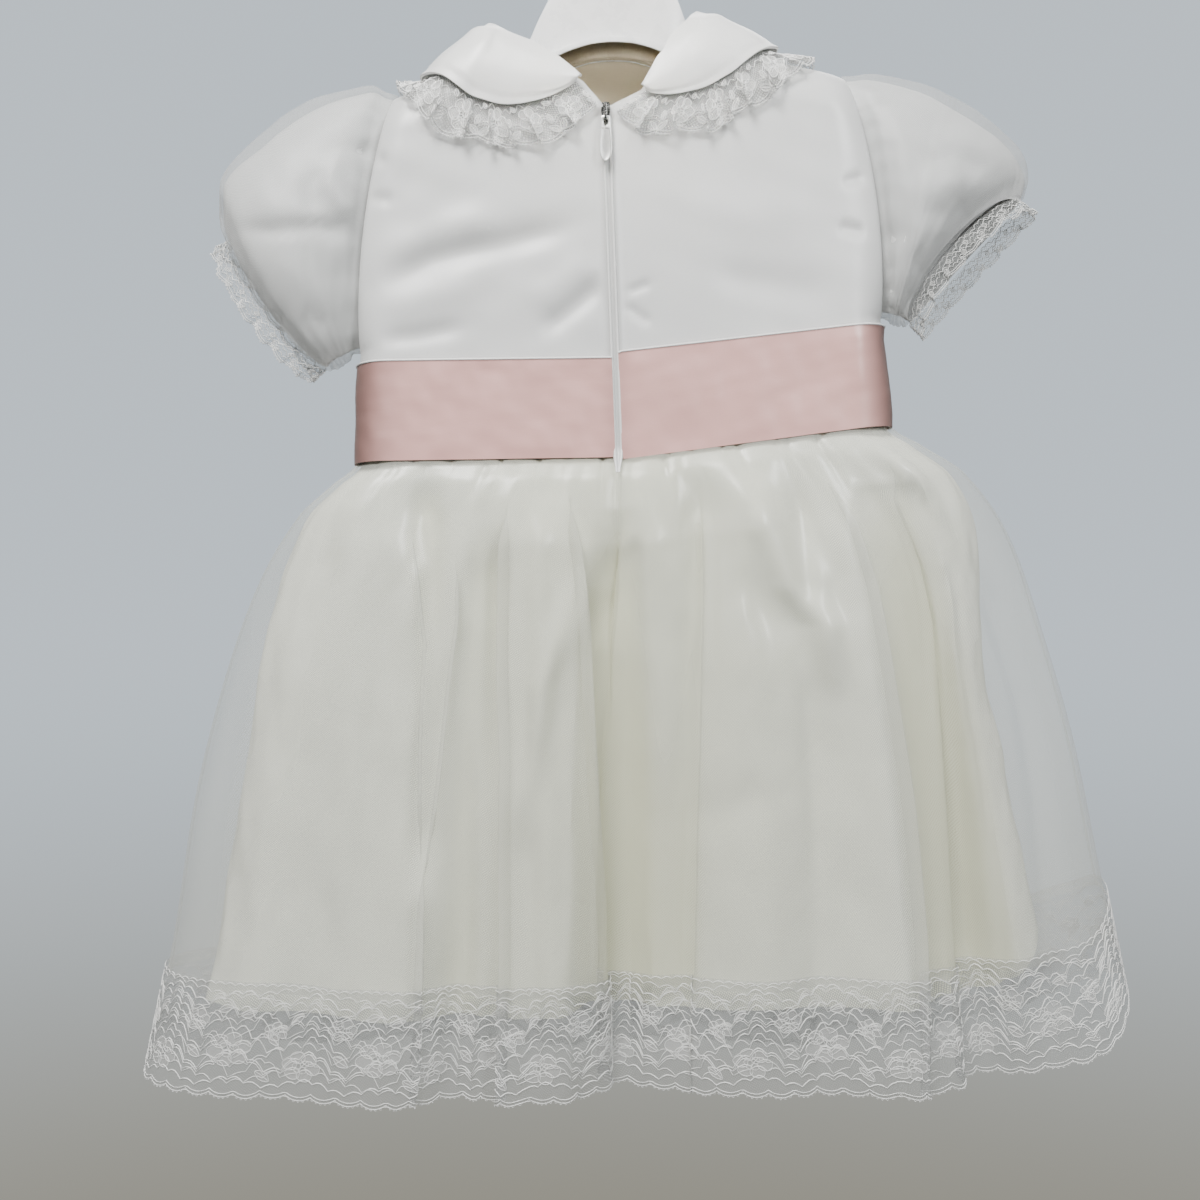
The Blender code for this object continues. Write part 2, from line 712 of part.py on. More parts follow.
BODICE_ROWS = (0.0, 0.28, 0.36, 0.52, 0.68, 0.82, 0.89, 0.935, 0.97, 0.99, 1.0)
SIDE_ROLL_STEPS = (0.86, 0.90, 0.94, 0.975, 1.0)
BACK_COLUMNS = {
    "left": (0.0, 0.09, 0.22, 0.35, 0.467, 0.532, 0.61, 0.70, 0.78, *SIDE_ROLL_STEPS),
    "right": (0.0, 0.13, 0.22, 0.29, 0.34, 0.381, 0.46, 0.56, 0.69, 0.78, *SIDE_ROLL_STEPS),
}


def front_columns():
    """The rolls at both sides, and between them a column on each point of the neck and shoulders."""
    left, right = bodice_side_x("left", 1.0), bodice_side_x("right", 1.0)
    roll = [(1.0 - share) / 2 for share in reversed(SIDE_ROLL_STEPS)]
    middle = [(row["x"] - left) / (right - left) for row in FRONT_TOP[1:-1]]
    inside = [share for share in middle if roll[-1] + 0.02 < share < 1.0 - roll[-1] - 0.02]
    return roll + inside + [1.0 - share for share in reversed(roll)]


def build_bodice(satin, sash):
    for name, panel, columns, half, flip in (
        ("back_left", lambda u, v: bodice_back_point("left", u, v), BACK_COLUMNS["left"], -1, True),
        ("back_right", lambda u, v: bodice_back_point("right", u, v), BACK_COLUMNS["right"], -1, False),
        ("front", bodice_front_point, front_columns(), 1, True),
    ):
        wall(f"bodice_{name}", panel, way_out_of(panel, flip=flip), columns, BODICE_ROWS, SATIN, satin, half=half)

        def ribbon_bed(u, v, panel=panel):
            return sash_point(panel, u, v)

        ribbon_out = way_out_of(ribbon_bed, flip=flip)
        ribbon = moved_out(ribbon_bed, ribbon_out, SATIN + LAYER_GAP)
        wall(f"sash_{name}", ribbon, ribbon_out, columns, (0.0, 0.12, 1.0), SATIN, sash, half=half)


def build_sleeves(satin, organza, lace):
    for side in ("left", "right"):
        def outer(u, v, side=side):
            return sleeve_point(side, u, v, 0.0)

        def lining(u, v, side=side):
            return sleeve_point(side, u, v, 3.0 + 2.6 * math.sin(math.pi * v))

        def cuff(u, v, side=side):
            return cuff_lace_point(side, u, v)

        flip = side == "left"
        for name, tube, columns, rows, thickness, material in (
            (f"sleeve_organza_{side}", outer, 18, 6, NET, organza),
            (f"sleeve_satin_{side}", lining, 16, 6, SKIRT_SATIN, satin),
            (f"cuff_lace_{side}", cuff, 18, 1, NET, lace),
        ):
            wall(
                name, tube, way_out_of(tube, True, flip),
                even(columns)[:-1], even(rows), thickness, material, closed=True,
            )


def build_collar(satin, lace):
    for side in ("left", "right"):
        def collar(u, v, side=side):
            return collar_point(side, u, v)

        def collar_out(u, v, side=side):
            return collar_bed(side, u, v, "neck", "edge")[1]

        def ruffle(u, v, side=side):
            return collar_lace_point(side, u, v)

        def ruffle_out(u, v, side=side):
            return collar_bed(side, u, v, "edge", "lace")[1]

        wall(f"collar_{side}", collar, collar_out, COLLAR_STATIONS, even(3), COLLAR_CLOTH, satin)
        wall(f"collar_lace_{side}", ruffle, ruffle_out, COLLAR_STATIONS, even(2), NET, lace)


def build_zip(tape, metal):
    top, bottom = -160.6, -330.6
    sections = []
    for step in range(9):
        height = mix(top, bottom, step / 8)
        x = centre_back(height)
        half, ridge = ZIP_TAPE_WIDTH / 2, ZIP_RIDGE_WIDTH / 2
        near, far = ZIP_TAPE_DEPTH - ZIP_TAPE_WALL, ZIP_TAPE_DEPTH
        outline = (
            (-half, far), (-half, near), (-ridge, near), (-ridge, ZIP_RIDGE_DEPTH),
            (ridge, ZIP_RIDGE_DEPTH), (ridge, near), (half, near), (half, far),
        )
        sections.append([(x + dx, y, height) for dx, y in outline])
    loft("zip_tape", sections, tape)
    build_slider(metal)
    build_pull(metal)


def build_slider(metal):
    """The slider's body with the bridge that holds the pull tab."""
    bottom = SLIDER_TOP - SLIDER_LENGTH
    shoulder = SLIDER_TOP - SLIDER_LENGTH * 0.35
    wide, narrow = SLIDER_WIDTH / 2, SLIDER_WIDTH * 0.36
    outline = [
        (-wide, SLIDER_TOP), (-wide, shoulder), (-narrow, bottom),
        (narrow, bottom), (wide, shoulder), (wide, SLIDER_TOP),
    ]
    body = loft(
        "zip_slider",
        [[(SLIDER_X + dx, y, z) for dx, z in outline] for y in (SLIDER_BACK, SLIDER_FACE)],
        metal,
    )
    bevel = body.modifiers.new("rounded edges", "BEVEL")
    bevel.width = 0.3 * MM
    bevel.segments = 2
    foot = SLIDER_FACE + 0.8
    out = SLIDER_FACE - BRIDGE_OUT
    high, low = SLIDER_TOP - 1.2, SLIDER_TOP - SLIDER_LENGTH + 0.9
    outside = [(foot, high), (out + 1.0, high), (out, high - 1.0), (out, low + 1.0), (out + 1.0, low), (foot, low)]
    inner_high, inner_low, inner_out = high - BRIDGE_WALL, low + BRIDGE_WALL, out + BRIDGE_WALL
    inside = [
        (foot, inner_high), (inner_out + 0.6, inner_high), (inner_out, inner_high - 0.6),
        (inner_out, inner_low + 0.6), (inner_out + 0.6, inner_low), (foot, inner_low),
    ]
    bridge = bmesh.new()
    rings = []
    for x in (SLIDER_X - BRIDGE_WIDTH / 2, SLIDER_X + BRIDGE_WIDTH / 2):
        rings.append([[bridge.verts.new(Vector((x, y, z)) * MM) for y, z in line] for line in (outside, inside)])
    for k in range(len(outside) - 1):
        for ring in rings:
            bridge.faces.new([ring[0][k], ring[0][k + 1], ring[1][k + 1], ring[1][k]])
        for line in (0, 1):
            bridge.faces.new([rings[0][line][k], rings[0][line][k + 1], rings[1][line][k + 1], rings[1][line][k]])
    for k in (0, len(outside) - 1):
        bridge.faces.new([rings[0][0][k], rings[1][0][k], rings[1][1][k], rings[0][1][k]])
    bmesh.ops.recalc_face_normals(bridge, faces=bridge.faces[:])
    guide = finish("bridge_guide", bridge, metal)
    guide.hide_render = True
    guide.display_type = "WIRE"
    join = body.modifiers.new("bridge", "BOOLEAN")
    join.operation = "UNION"
    join.object = guide


def build_pull(metal):
    """The teardrop tab, its origin on the hinge's axis in the middle of its upper bar."""
    right_outline, right_eye = [], []
    last = len(PULL) - 1
    for k, row in enumerate(PULL):
        angle = math.pi * k / last
        eye_down = (1.0 - math.cos(angle)) / 2 * PULL_EYE_LENGTH
        eye_half = PULL_EYE_WIDTH / 2 * math.sqrt(max(math.sin(angle), 0.0))
        right_outline.append((row["half"], PULL_BAR / 2 - row["down"]))
        right_eye.append((eye_half if 0 < k < last else 0.0, -PULL_BAR / 2 - eye_down))
    outline = right_outline + [(-x, z) for x, z in reversed(right_outline[1:-1])]
    eye = right_eye + [(-x, z) for x, z in reversed(right_eye[1:-1])]
    data = bmesh.new()
    rings = []
    for y in (-PULL_WALL / 2, PULL_WALL / 2):
        rings.append([[data.verts.new(Vector((x, y, z)) * MM) for x, z in line] for line in (outline, eye)])
    for k in range(len(outline)):
        n = (k + 1) % len(outline)
        for ring in rings:
            data.faces.new([ring[0][k], ring[0][n], ring[1][n], ring[1][k]])
        for line in (0, 1):
            data.faces.new([rings[0][line][k], rings[0][line][n], rings[1][line][n], rings[1][line][k]])
    bmesh.ops.recalc_face_normals(data, faces=data.faces[:])
    finish("zip_pull", data, metal, location=Vector(PULL_PIVOT) * MM)


def build_hanger(plastic):
    sections = []
    for row in HANGER:
        x, top, bottom, depth = row["x"], row["top"], row["bottom"], row["depth"]
        inner = depth - HANGER_WALL
        roof = min(top - HANGER_WALL, HANGER_ROOF)
        cut = HANGER_CHAMFER
        outline = (
            (-depth, bottom), (-depth, top - cut), (cut - depth, top), (depth - cut, top),
            (depth, top - cut), (depth, bottom), (inner, bottom), (inner, roof), (-inner, roof), (-inner, bottom),
        )
        sections.append([(x, y, z) for y, z in outline])
    loft("hanger_body", sections, plastic)
    build_hook(plastic)


def build_hook(plastic):
    """Stem, bend and round of the hook as one tube along a curve."""
    centre_z = HOOK_TUBE - HOOK_RADIUS
    foot, bend = -85.7, -62.0
    join_angle, end_angle = math.radians(-42.0), math.radians(196.0)
    route = [(0.0, foot), (0.0, mix(foot, bend, 0.5)), (0.0, bend)]
    start = Vector((0.0, bend))
    finish_at = Vector((math.cos(join_angle), math.sin(join_angle))) * HOOK_RADIUS + Vector((0.0, centre_z))
    pull_up = start + Vector((0.0, 12.0))
    pull_back = finish_at - Vector((-math.sin(join_angle), math.cos(join_angle))) * 10.0
    for step in range(1, 6):
        t = step / 6
        spot = (
            start * (1 - t) ** 3 + pull_up * 3 * t * (1 - t) ** 2
            + pull_back * 3 * t * t * (1 - t) + finish_at * t ** 3
        )
        route.append((spot.x, spot.y))
    steps = 18
    for step in range(steps + 1):
        angle = mix(join_angle, end_angle, step / steps)
        route.append((HOOK_RADIUS * math.cos(angle), centre_z + HOOK_RADIUS * math.sin(angle)))
    curve = bpy.data.curves.new("hanger_hook", "CURVE")
    curve.dimensions = "3D"
    curve.bevel_depth = HOOK_TUBE * MM
    curve.bevel_resolution = 2
    curve.use_fill_caps = True
    line = curve.splines.new("POLY")
    line.points.add(len(route) - 1)
    for spot, (x, z) in zip(line.points, route):
        spot.co = (x * MM, 0.0, z * MM, 1.0)
    curve.materials.append(plastic)
    bpy.context.scene.collection.objects.link(bpy.data.objects.new("hanger_hook", curve))


def main():
    for old in list(bpy.data.objects):
        bpy.data.objects.remove(old)
    satin = make_material("ivory_satin", (0.82, 0.81, 0.76), 0.45)
    tulle = make_material("ivory_tulle", (0.84, 0.83, 0.78), 0.75)
    organza = make_material("ivory_organza", (0.84, 0.84, 0.81), 0.65)
    lace = make_material("ivory_lace", (0.88, 0.88, 0.86), 0.8)
    sash = make_material("pink_satin", (0.74, 0.50, 0.48), 0.4)
    tape = make_material("zip_tape", (0.85, 0.85, 0.83), 0.8)
    metal = make_material("nickel", (0.62, 0.62, 0.62), 0.3, 1.0)
    plastic = make_material("white_plastic", (0.87, 0.88, 0.88), 0.3)
    build_hanger(plastic)
    build_bodice(satin, sash)
    build_sleeves(satin, organza, lace)
    build_collar(satin, lace)
    build_skirt(satin, tulle, lace)
    build_zip(tape, metal)


main()
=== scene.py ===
import json
import math

import bmesh
import bpy
import numpy as np
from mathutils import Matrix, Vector

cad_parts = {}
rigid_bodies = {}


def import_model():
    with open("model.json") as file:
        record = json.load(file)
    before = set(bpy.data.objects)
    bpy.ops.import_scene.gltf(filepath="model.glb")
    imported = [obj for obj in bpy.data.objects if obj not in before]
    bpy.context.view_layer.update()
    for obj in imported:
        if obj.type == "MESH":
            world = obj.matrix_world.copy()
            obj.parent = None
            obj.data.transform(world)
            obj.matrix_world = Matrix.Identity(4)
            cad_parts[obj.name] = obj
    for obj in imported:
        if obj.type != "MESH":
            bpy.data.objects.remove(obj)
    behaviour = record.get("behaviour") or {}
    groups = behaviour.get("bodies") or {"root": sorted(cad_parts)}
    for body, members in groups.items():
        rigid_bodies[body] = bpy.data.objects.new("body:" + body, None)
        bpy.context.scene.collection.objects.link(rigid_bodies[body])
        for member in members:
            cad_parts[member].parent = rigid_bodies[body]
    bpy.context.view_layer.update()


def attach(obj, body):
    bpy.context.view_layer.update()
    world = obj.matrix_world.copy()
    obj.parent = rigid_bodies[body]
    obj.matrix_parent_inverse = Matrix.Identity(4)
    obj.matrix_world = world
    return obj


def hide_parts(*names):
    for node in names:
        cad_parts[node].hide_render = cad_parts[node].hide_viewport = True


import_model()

mm = 0.001
tau = math.tau


def table(columns, *rows):
    return {name: np.array([row[k] for row in rows], float) for k, name in enumerate(columns)}


# camera, room light and floor

view = {
    "cameraAt": (-0.006, -0.682, -0.408), "lens": 39.6,
    "wallColour": (0.70, 0.79, 0.87), "wallShadowLow": (0.315, 0.30, 0.245),
    "dimLight": (0.07, 0.07, 0.07), "highLight": (0.42, 0.43, 0.44),
    "floorHeight": -1.2, "floorRadius": 0.6, "neckSpread": 12.0,
}

lamps = (  # name, place, aim, size, power, colour
    ("keyLamp", (-0.50, -1.08, 1.05), (0.0, 0.0, -0.38), 0.8, 60.0, (1.0, 0.99, 0.97)),
    ("fillLamp", (0.85, -1.35, 0.45), (0.0, 0.0, -0.40), 0.45, 19.0, (0.97, 0.99, 1.0)),
    ("backLamp", (0.2, 1.5, 0.7), (0.0, 0.0, -0.30), 1.4, 26.0, (1.0, 0.99, 0.97)),
    ("neckLamp", (0.02, -0.8, -0.34), (0.0, 0.0, -0.135), 0.1, 0.022, (1.0, 0.94, 0.80)),
)


def addLamp(name, place, aim, size, power, colour):
    lampData = bpy.data.lights.new(name, "AREA")
    lampData.shape = "DISK"
    lampData.size, lampData.energy, lampData.color = size, power, colour
    if name == "neckLamp":
        lampData.spread = math.radians(view["neckSpread"])
    lamp = bpy.data.objects.new(name, lampData)
    lamp.location = place
    lamp.rotation_euler = Vector(np.subtract(aim, place)).to_track_quat("-Z", "Y").to_euler()
    bpy.context.scene.collection.objects.link(lamp)


def setRoom():
    scene = bpy.context.scene
    cameraData = bpy.data.cameras.new("camera")
    cameraData.lens = view["lens"]
    cameraData.sensor_width = 36.0
    camera = bpy.data.objects.new("camera", cameraData)
    camera.location = view["cameraAt"]
    camera.rotation_euler = (math.pi / 2, 0.0, 0.0)
    scene.collection.objects.link(camera)
    scene.camera = camera
    world = bpy.data.worlds.new("room")
    scene.world = world
    world.use_nodes = True
    # the pale walls that are seen, with a painted shadow that darkens and warms them lower down, and the
    # dimmer room light from above
    way = node(world, "ShaderNodeTexCoord").outputs["Generated"]
    up = node(world, "ShaderNodeSeparateXYZ", {0: way}).outputs["Z"]
    wall = ranged(world, up, 0.0, 1.0, -0.46, -0.02, interpolation_type="SMOOTHSTEP")
    seen = node(world, "ShaderNodeLightPath").outputs["Is Camera Ray"]
    dim = blended(world, ranged(world, up, 0.0, 1.0, -0.6, 0.9), view["dimLight"], view["highLight"])
    room = blended(world, seen, dim, blended(world, wall, view["wallShadowLow"], view["wallColour"]))
    world.node_tree.links.new(room, world.node_tree.nodes["Background"].inputs["Color"])
    for lamp in lamps:
        addLamp(*lamp)
    bpy.ops.object.select_all(action="DESELECT")
    bpy.ops.mesh.primitive_circle_add(
        vertices=96, radius=view["floorRadius"], fill_type="NGON", location=(0.0, 0.0, view["floorHeight"]))
    floor = bpy.context.object
    floor.name = "floor"
    floor.data.materials.append(plainMaterial("floorPaint", (0.62, 0.63, 0.63), 0.6))
    print("room ready")


# materials

def plainMaterial(name, colour, roughness, metallic=0.0, sockets=None):
    material = bpy.data.materials.new(name)
    material.use_nodes = True
    shader = material.node_tree.nodes["Principled BSDF"]
    values = {"Base Color": (*colour, 1.0), "Roughness": roughness, "Metallic": metallic, **(sockets or {})}
    for socketName, value in values.items():
        shader.inputs[socketName].default_value = value
    return material


def node(material, kind, inputs=None, **settings):
    made = material.node_tree.nodes.new(kind)
    for name, value in settings.items():
        setattr(made, name, value)
    sockets = {socket.name: socket for socket in made.inputs if socket.enabled}
    for name, value in (inputs or {}).items():
        socket = sockets[name] if isinstance(name, str) else made.inputs[name]
        if isinstance(value, bpy.types.NodeSocket):
            material.node_tree.links.new(value, socket)
        else:
            socket.default_value = value
    return made


def wire(material, source, socketName):
    shader = material.node_tree.nodes["Principled BSDF"]
    material.node_tree.links.new(source, shader.inputs[socketName])


def uvPlace(material, scale, angle=0.0):
    uv = node(material, "ShaderNodeUVMap", uv_map="cloth")
    return node(material, "ShaderNodeMapping", {
        "Vector": uv.outputs[0], "Scale": scale, "Rotation": (0.0, 0.0, angle)}).outputs[0]


def colourFrom(blend):
    return next(socket for socket in blend.outputs if socket.enabled)


def blended(owner, factor, *colours):
    # each colour is three numbers or another node's output
    first, second = (c if isinstance(c, bpy.types.NodeSocket) else (*c, 1.0) for c in colours)
    return colourFrom(node(owner, "ShaderNodeMix", {"Factor": factor, "A": first, "B": second},
                           data_type="RGBA"))


def paintedShadeOf(material):
    # the painted shade mask that each cloth piece carries
    return node(material, "ShaderNodeAttribute", attribute_name="paintedShade").outputs["Fac"]


def tinted(material, colour, amount, factor):
    low = [c * (1 - amount) for c in colour]
    high = [min(c * (1 + amount), 1.0) for c in colour]
    return blended(material, factor, low, high)


def maths(material, operation, first, second=0.0, clamp=False):
    return node(material, "ShaderNodeMath", {0: first, 1: second}, operation=operation,
                use_clamp=clamp).outputs[0]


def ranged(owner, value, low, high, start=0.0, end=1.0, **settings):
    # value from start to end becomes low to high
    return node(owner, "ShaderNodeMapRange", {"Value": value, 1: start, 2: end, 3: low, 4: high},
                **settings).outputs[0]


def clothNoise(material, scaleX, scaleY, detail):
    return node(material, "ShaderNodeTexNoise", {
        "Vector": uvPlace(material, (scaleX, scaleY, 1.0)), "Scale": 1.0, "Detail": detail},
        noise_dimensions="2D").outputs[0]


def solidNoise(material, scale, detail, roughness=0.5):
    place = node(material, "ShaderNodeTexCoord").outputs["Object"]
    return node(material, "ShaderNodeTexNoise", {
        "Vector": place, "Scale": scale, "Detail": detail, "Roughness": roughness}).outputs[0]


def bumped(material, height, strength, distance):
    bump = node(material, "ShaderNodeBump", {"Strength": strength, "Distance": distance, "Height": height})
    wire(material, bump.outputs[0], "Normal")


satins = {  # colour, painted shade colour for hollows, turned ends and grooves, roughness, sheen, bump
    "ivorySatin": ((0.80, 0.81, 0.715), (0.80, 0.80, 0.62), 0.27, 0.06, 0.14),
    "collarSatin": ((0.87, 0.87, 0.85), (0.50, 0.50, 0.49), 0.38, 0.08, 0.14),
    "bodiceSatin": ((0.70, 0.705, 0.695), (0.46, 0.46, 0.45), 0.40, 0.08, 0.14),
    "pinkSatin": ((0.71, 0.40, 0.365), (0.19, 0.10, 0.085), 0.36, 0.10, 0.2),
    # the lining's tan is painted warm shade, for its inside seen in shadow through the neck
    "liningWarmShade": ((0.60, 0.52, 0.375), (0.50, 0.43, 0.30), 0.7, 0.1, 0.2),
}


def satinMaterial(name):
    colour, shadeColour, roughness, sheen, bump = satins[name]
    material = plainMaterial(name, colour, roughness, 0.0, {
        "Sheen Weight": sheen, "Sheen Roughness": 0.4, "Specular IOR Level": 0.8})
    slub, warp = clothNoise(material, 260.0, 2600.0, 2.0), clothNoise(material, 2200.0, 300.0, 1.0)
    cloud = clothNoise(material, 22.0, 16.0, 3.0)
    weave = maths(material, "ADD", slub, maths(material, "MULTIPLY", warp, 0.6))
    shade = maths(material, "ADD", maths(material, "MULTIPLY", cloud, 0.35),
                  maths(material, "MULTIPLY", slub, 0.65))
    tone = tinted(material, colour, 0.05, shade)
    # painted shade: the tone turns to the shade colour where the mask is high
    wire(material, blended(material, paintedShadeOf(material), tone, shadeColour), "Base Color")
    bumped(material, weave, bump, 0.00012)
    wire(material, ranged(material, cloud, roughness - 0.05, roughness + 0.07), "Roughness")
    return material


sheers = {  # colour, painted shade colour for the hollows of folds, cell in mm, thread's share of it, how much threads and holes cover
    "ivoryTulle": ((0.68, 0.69, 0.63), (0.70, 0.70, 0.50), 0.62, 0.24, 0.32, 0.16),
    "ivoryOrganza": ((0.60, 0.61, 0.605), (0.60, 0.60, 0.57), 0.5, 0.24, 0.48, 0.24),
    # the grey net is painted shade seen through the lace; its thread is white
    "laceNetShadeGrey": ((0.40, 0.40, 0.385), (0.55, 0.53, 0.46), 0.95, 0.20, 0.46, 0.10),
    "laceFill": ((0.82, 0.82, 0.80), (0.76, 0.74, 0.68), 0.8, 0.24, 0.60, 0.16),
    # the grey net is painted shade seen through the lace; its thread is white
    "hemNetShadeGrey": ((0.40, 0.41, 0.40), (0.40, 0.39, 0.34), 0.95, 0.20, 0.48, 0.10),
    "hemFill": ((0.62, 0.62, 0.60), (0.66, 0.65, 0.58), 0.7, 0.26, 0.40, 0.12),
}


def sheerMaterial(name):
    colour, shadeColour, cell, thread, threads, holes = sheers[name]
    material = plainMaterial(name, colour, 0.7, 0.0, {
        "Sheen Weight": 0.15, "Sheen Roughness": 0.5, "Specular IOR Level": 0.3})
    cells = 1000.0 / cell
    net = node(material, "ShaderNodeTexVoronoi", {
        "Vector": uvPlace(material, (cells, cells * 0.87, 1.0), 0.5), "Scale": 1.0, "Randomness": 0.35},
        feature="DISTANCE_TO_EDGE", voronoi_dimensions="2D")
    cover = ranged(material, net.outputs[0], threads, holes, thread * 0.6, thread)
    doubled = maths(material, "MULTIPLY", paintedShadeOf(material), 0.4)  # the painted shade mask also makes the sheer denser where deep folds lie double
    wire(material, maths(material, "ADD", cover, doubled, clamp=True), "Alpha")
    tone = tinted(material, colour, 0.03, clothNoise(material, 60.0, 14.0, 3.0))
    # painted shade: the tone turns to the shade colour where the mask is high
    wire(material, blended(material, paintedShadeOf(material), tone, shadeColour), "Base Color")
    return material


def threadMaterial(name, colour):
    material = plainMaterial(name, colour, 0.62, 0.0, {"Sheen Weight": 0.2})
    twist = solidNoise(material, 3200.0, 1.0)
    wire(material, tinted(material, colour, 0.05, twist), "Base Color")
    bumped(material, twist, 0.3, 0.0001)
    return material


def plasticMaterial(name, colour):
    material = plainMaterial(name, colour, 0.28, 0.0, {
        "Subsurface Weight": 0.08, "Subsurface Radius": (0.004, 0.004, 0.004)})
    wire(material, tinted(material, colour, 0.02, solidNoise(material, 28.0, 2.0)), "Base Color")
    scuff = solidNoise(material, 120.0, 4.0, 0.7)
    wire(material, ranged(material, scuff, 0.22, 0.42, 0.35, 0.75), "Roughness")
    bumped(material, solidNoise(material, 900.0, 2.0), 0.12, 0.0002)
    return material


def nickelMaterial(name, colour, roughness):
    material = plainMaterial(name, colour, roughness, 1.0)
    wear = solidNoise(material, 1600.0, 2.0)
    wire(material, tinted(material, colour, 0.05, wear), "Base Color")
    wire(material, ranged(material, wear, roughness - 0.05, roughness + 0.06, 0.3, 0.7), "Roughness")
    bumped(material, wear, 0.05, 0.00002)
    return material


def tapeMaterial():
    colour = (0.84, 0.84, 0.82)
    material = plainMaterial("zipTape", colour, 0.8)
    rib, weft = (node(material, "ShaderNodeTexWave", {
        "Vector": uvPlace(material, (1.0, 1.0, 1.0)), "Scale": scale, "Distortion": 0.4},
        bands_direction=way).outputs["Fac"] for scale, way in ((320.0, "X"), (450.0, "Y")))
    weave = maths(material, "MULTIPLY", rib, weft)
    wire(material, tinted(material, colour, 0.05, weave), "Base Color")
    bumped(material, weave, 0.4, 0.0001)
    return material


# reading tables and drawing soft lines

def mix(a, b, share):
    return a + (b - a) * share


def smooth(value):
    value = np.clip(value, 0.0, 1.0)
    return value * value * (3.0 - 2.0 * value)


def readLine(rows, key, value, column):
    return np.interp(value, rows[key], rows[column])


def readSmooth(rows, key, value, column):
    xs, ys = rows[key], rows[column]
    value = np.clip(value, xs[0], xs[-1])
    gaps = np.diff(xs)
    slopes = np.diff(ys) / np.maximum(gaps, 1e-9)
    knots = np.empty(len(xs))
    knots[0], knots[-1] = slopes[0], slopes[-1]
    before, after = slopes[:-1], slopes[1:]
    same = before * after > 0
    total = np.where(same, before + after, 1.0)
    knots[1:-1] = np.where(same, 2 * before * after / total, 0.0)
    k = np.clip(np.searchsorted(xs, value, side="right") - 1, 0, len(xs) - 2)
    s = (value - xs[k]) / gaps[k]
    s2, s3 = s * s, s ** 3
    return ((2 * s3 - 3 * s2 + 1) * ys[k] + (s3 - 2 * s2 + s) * gaps[k] * knots[k]
            + (3 * s2 - 2 * s3) * ys[k + 1] + (s3 - s2) * gaps[k] * knots[k + 1])


def quarterRoll(share):
    share = np.clip(share, 0.0, 1.0)
    return 1.0 - np.sqrt(1.0 - share * share)


def softNoise(seed, s, t, size):
    random = np.random.default_rng(seed)
    total = 0.0
    for octave in range(3):
        for _ in range(5):
            angle, phase = random.uniform(0, tau, 2)
            wave = size / 1.8 ** octave * random.uniform(0.7, 1.4)
            along = s * math.cos(angle) + t * math.sin(angle)
            total = total + np.sin(tau * along / wave + phase) / 1.7 ** octave
    return total / 5.0


def creased(x, z, path, width, depth, taper=0.3):
    # a soft trough or ridge along a line of points, fading at both ends
    path = np.array(path, float)
    lengths = np.hypot(*np.diff(path, axis=0).T)
    gone = np.concatenate([[0.0], np.cumsum(lengths)])
    best = np.full(np.shape(x), 1e9)
    along = np.zeros(np.shape(x))
    for k, length in enumerate(lengths):
        (ax, az), (bx, bz) = path[k], path[k + 1]
        share = np.clip(((x - ax) * (bx - ax) + (z - az) * (bz - az)) / length ** 2, 0.0, 1.0)
        away = np.hypot(x - mix(ax, bx, share), z - mix(az, bz, share))
        nearer = away < best
        best = np.where(nearer, away, best)
        along = np.where(nearer, (gone[k] + share * length) / gone[-1], along)
    fade = smooth(np.minimum(along, 1.0 - along) / taper)
    return depth * np.exp(-(best / width) ** 2) * (0.15 + 0.85 * fade)


# grids of points and the meshes made on them

def shares(count, closed=False):
    return np.linspace(0.0, 1.0, count, endpoint=not closed)


def gridShares(columns, rows):
    return np.meshgrid(shares(columns), shares(rows), indexing="ij")


def unit(vectors):
    return vectors / np.maximum(np.linalg.norm(vectors, axis=-1, keepdims=True), 1e-9)


def gridNormals(points, closed):
    if closed:
        along = np.roll(points, -1, axis=0) - np.roll(points, 1, axis=0)
    else:
        along = np.gradient(points, axis=0)
    return unit(np.cross(along, np.gradient(points, axis=1)))


def facing(points, closed, outward):
    # unit normals on the side that outward points to
    normals = gridNormals(points, closed)
    return normals if np.sum(normals * outward) > 0 else -normals


def arcLengths(points, axis):
    steps = np.linalg.norm(np.diff(points, axis=axis), axis=2)
    return np.insert(np.cumsum(steps, axis=axis), 0, 0.0, axis=axis)


def newPiece(name, points, faces, materials, uvAt=None):
    # points in mm; uvAt gives the place on the cloth for each corner's point
    mesh = bpy.data.meshes.new(name)
    mesh.from_pydata((points * mm).tolist(), [], faces)
    layer = mesh.uv_layers.new(name="cloth")
    if uvAt:
        corners = np.empty(len(mesh.loops), int)
        mesh.loops.foreach_get("vertex_index", corners)
        layer.data.foreach_set("uv", uvAt(corners).reshape(-1))
    for material in materials:
        mesh.materials.append(material)
    mesh.polygons.foreach_set("use_smooth", [True] * len(mesh.polygons))
    mesh.update()
    piece = bpy.data.objects.new(name, mesh)
    bpy.context.scene.collection.objects.link(piece)
    return piece


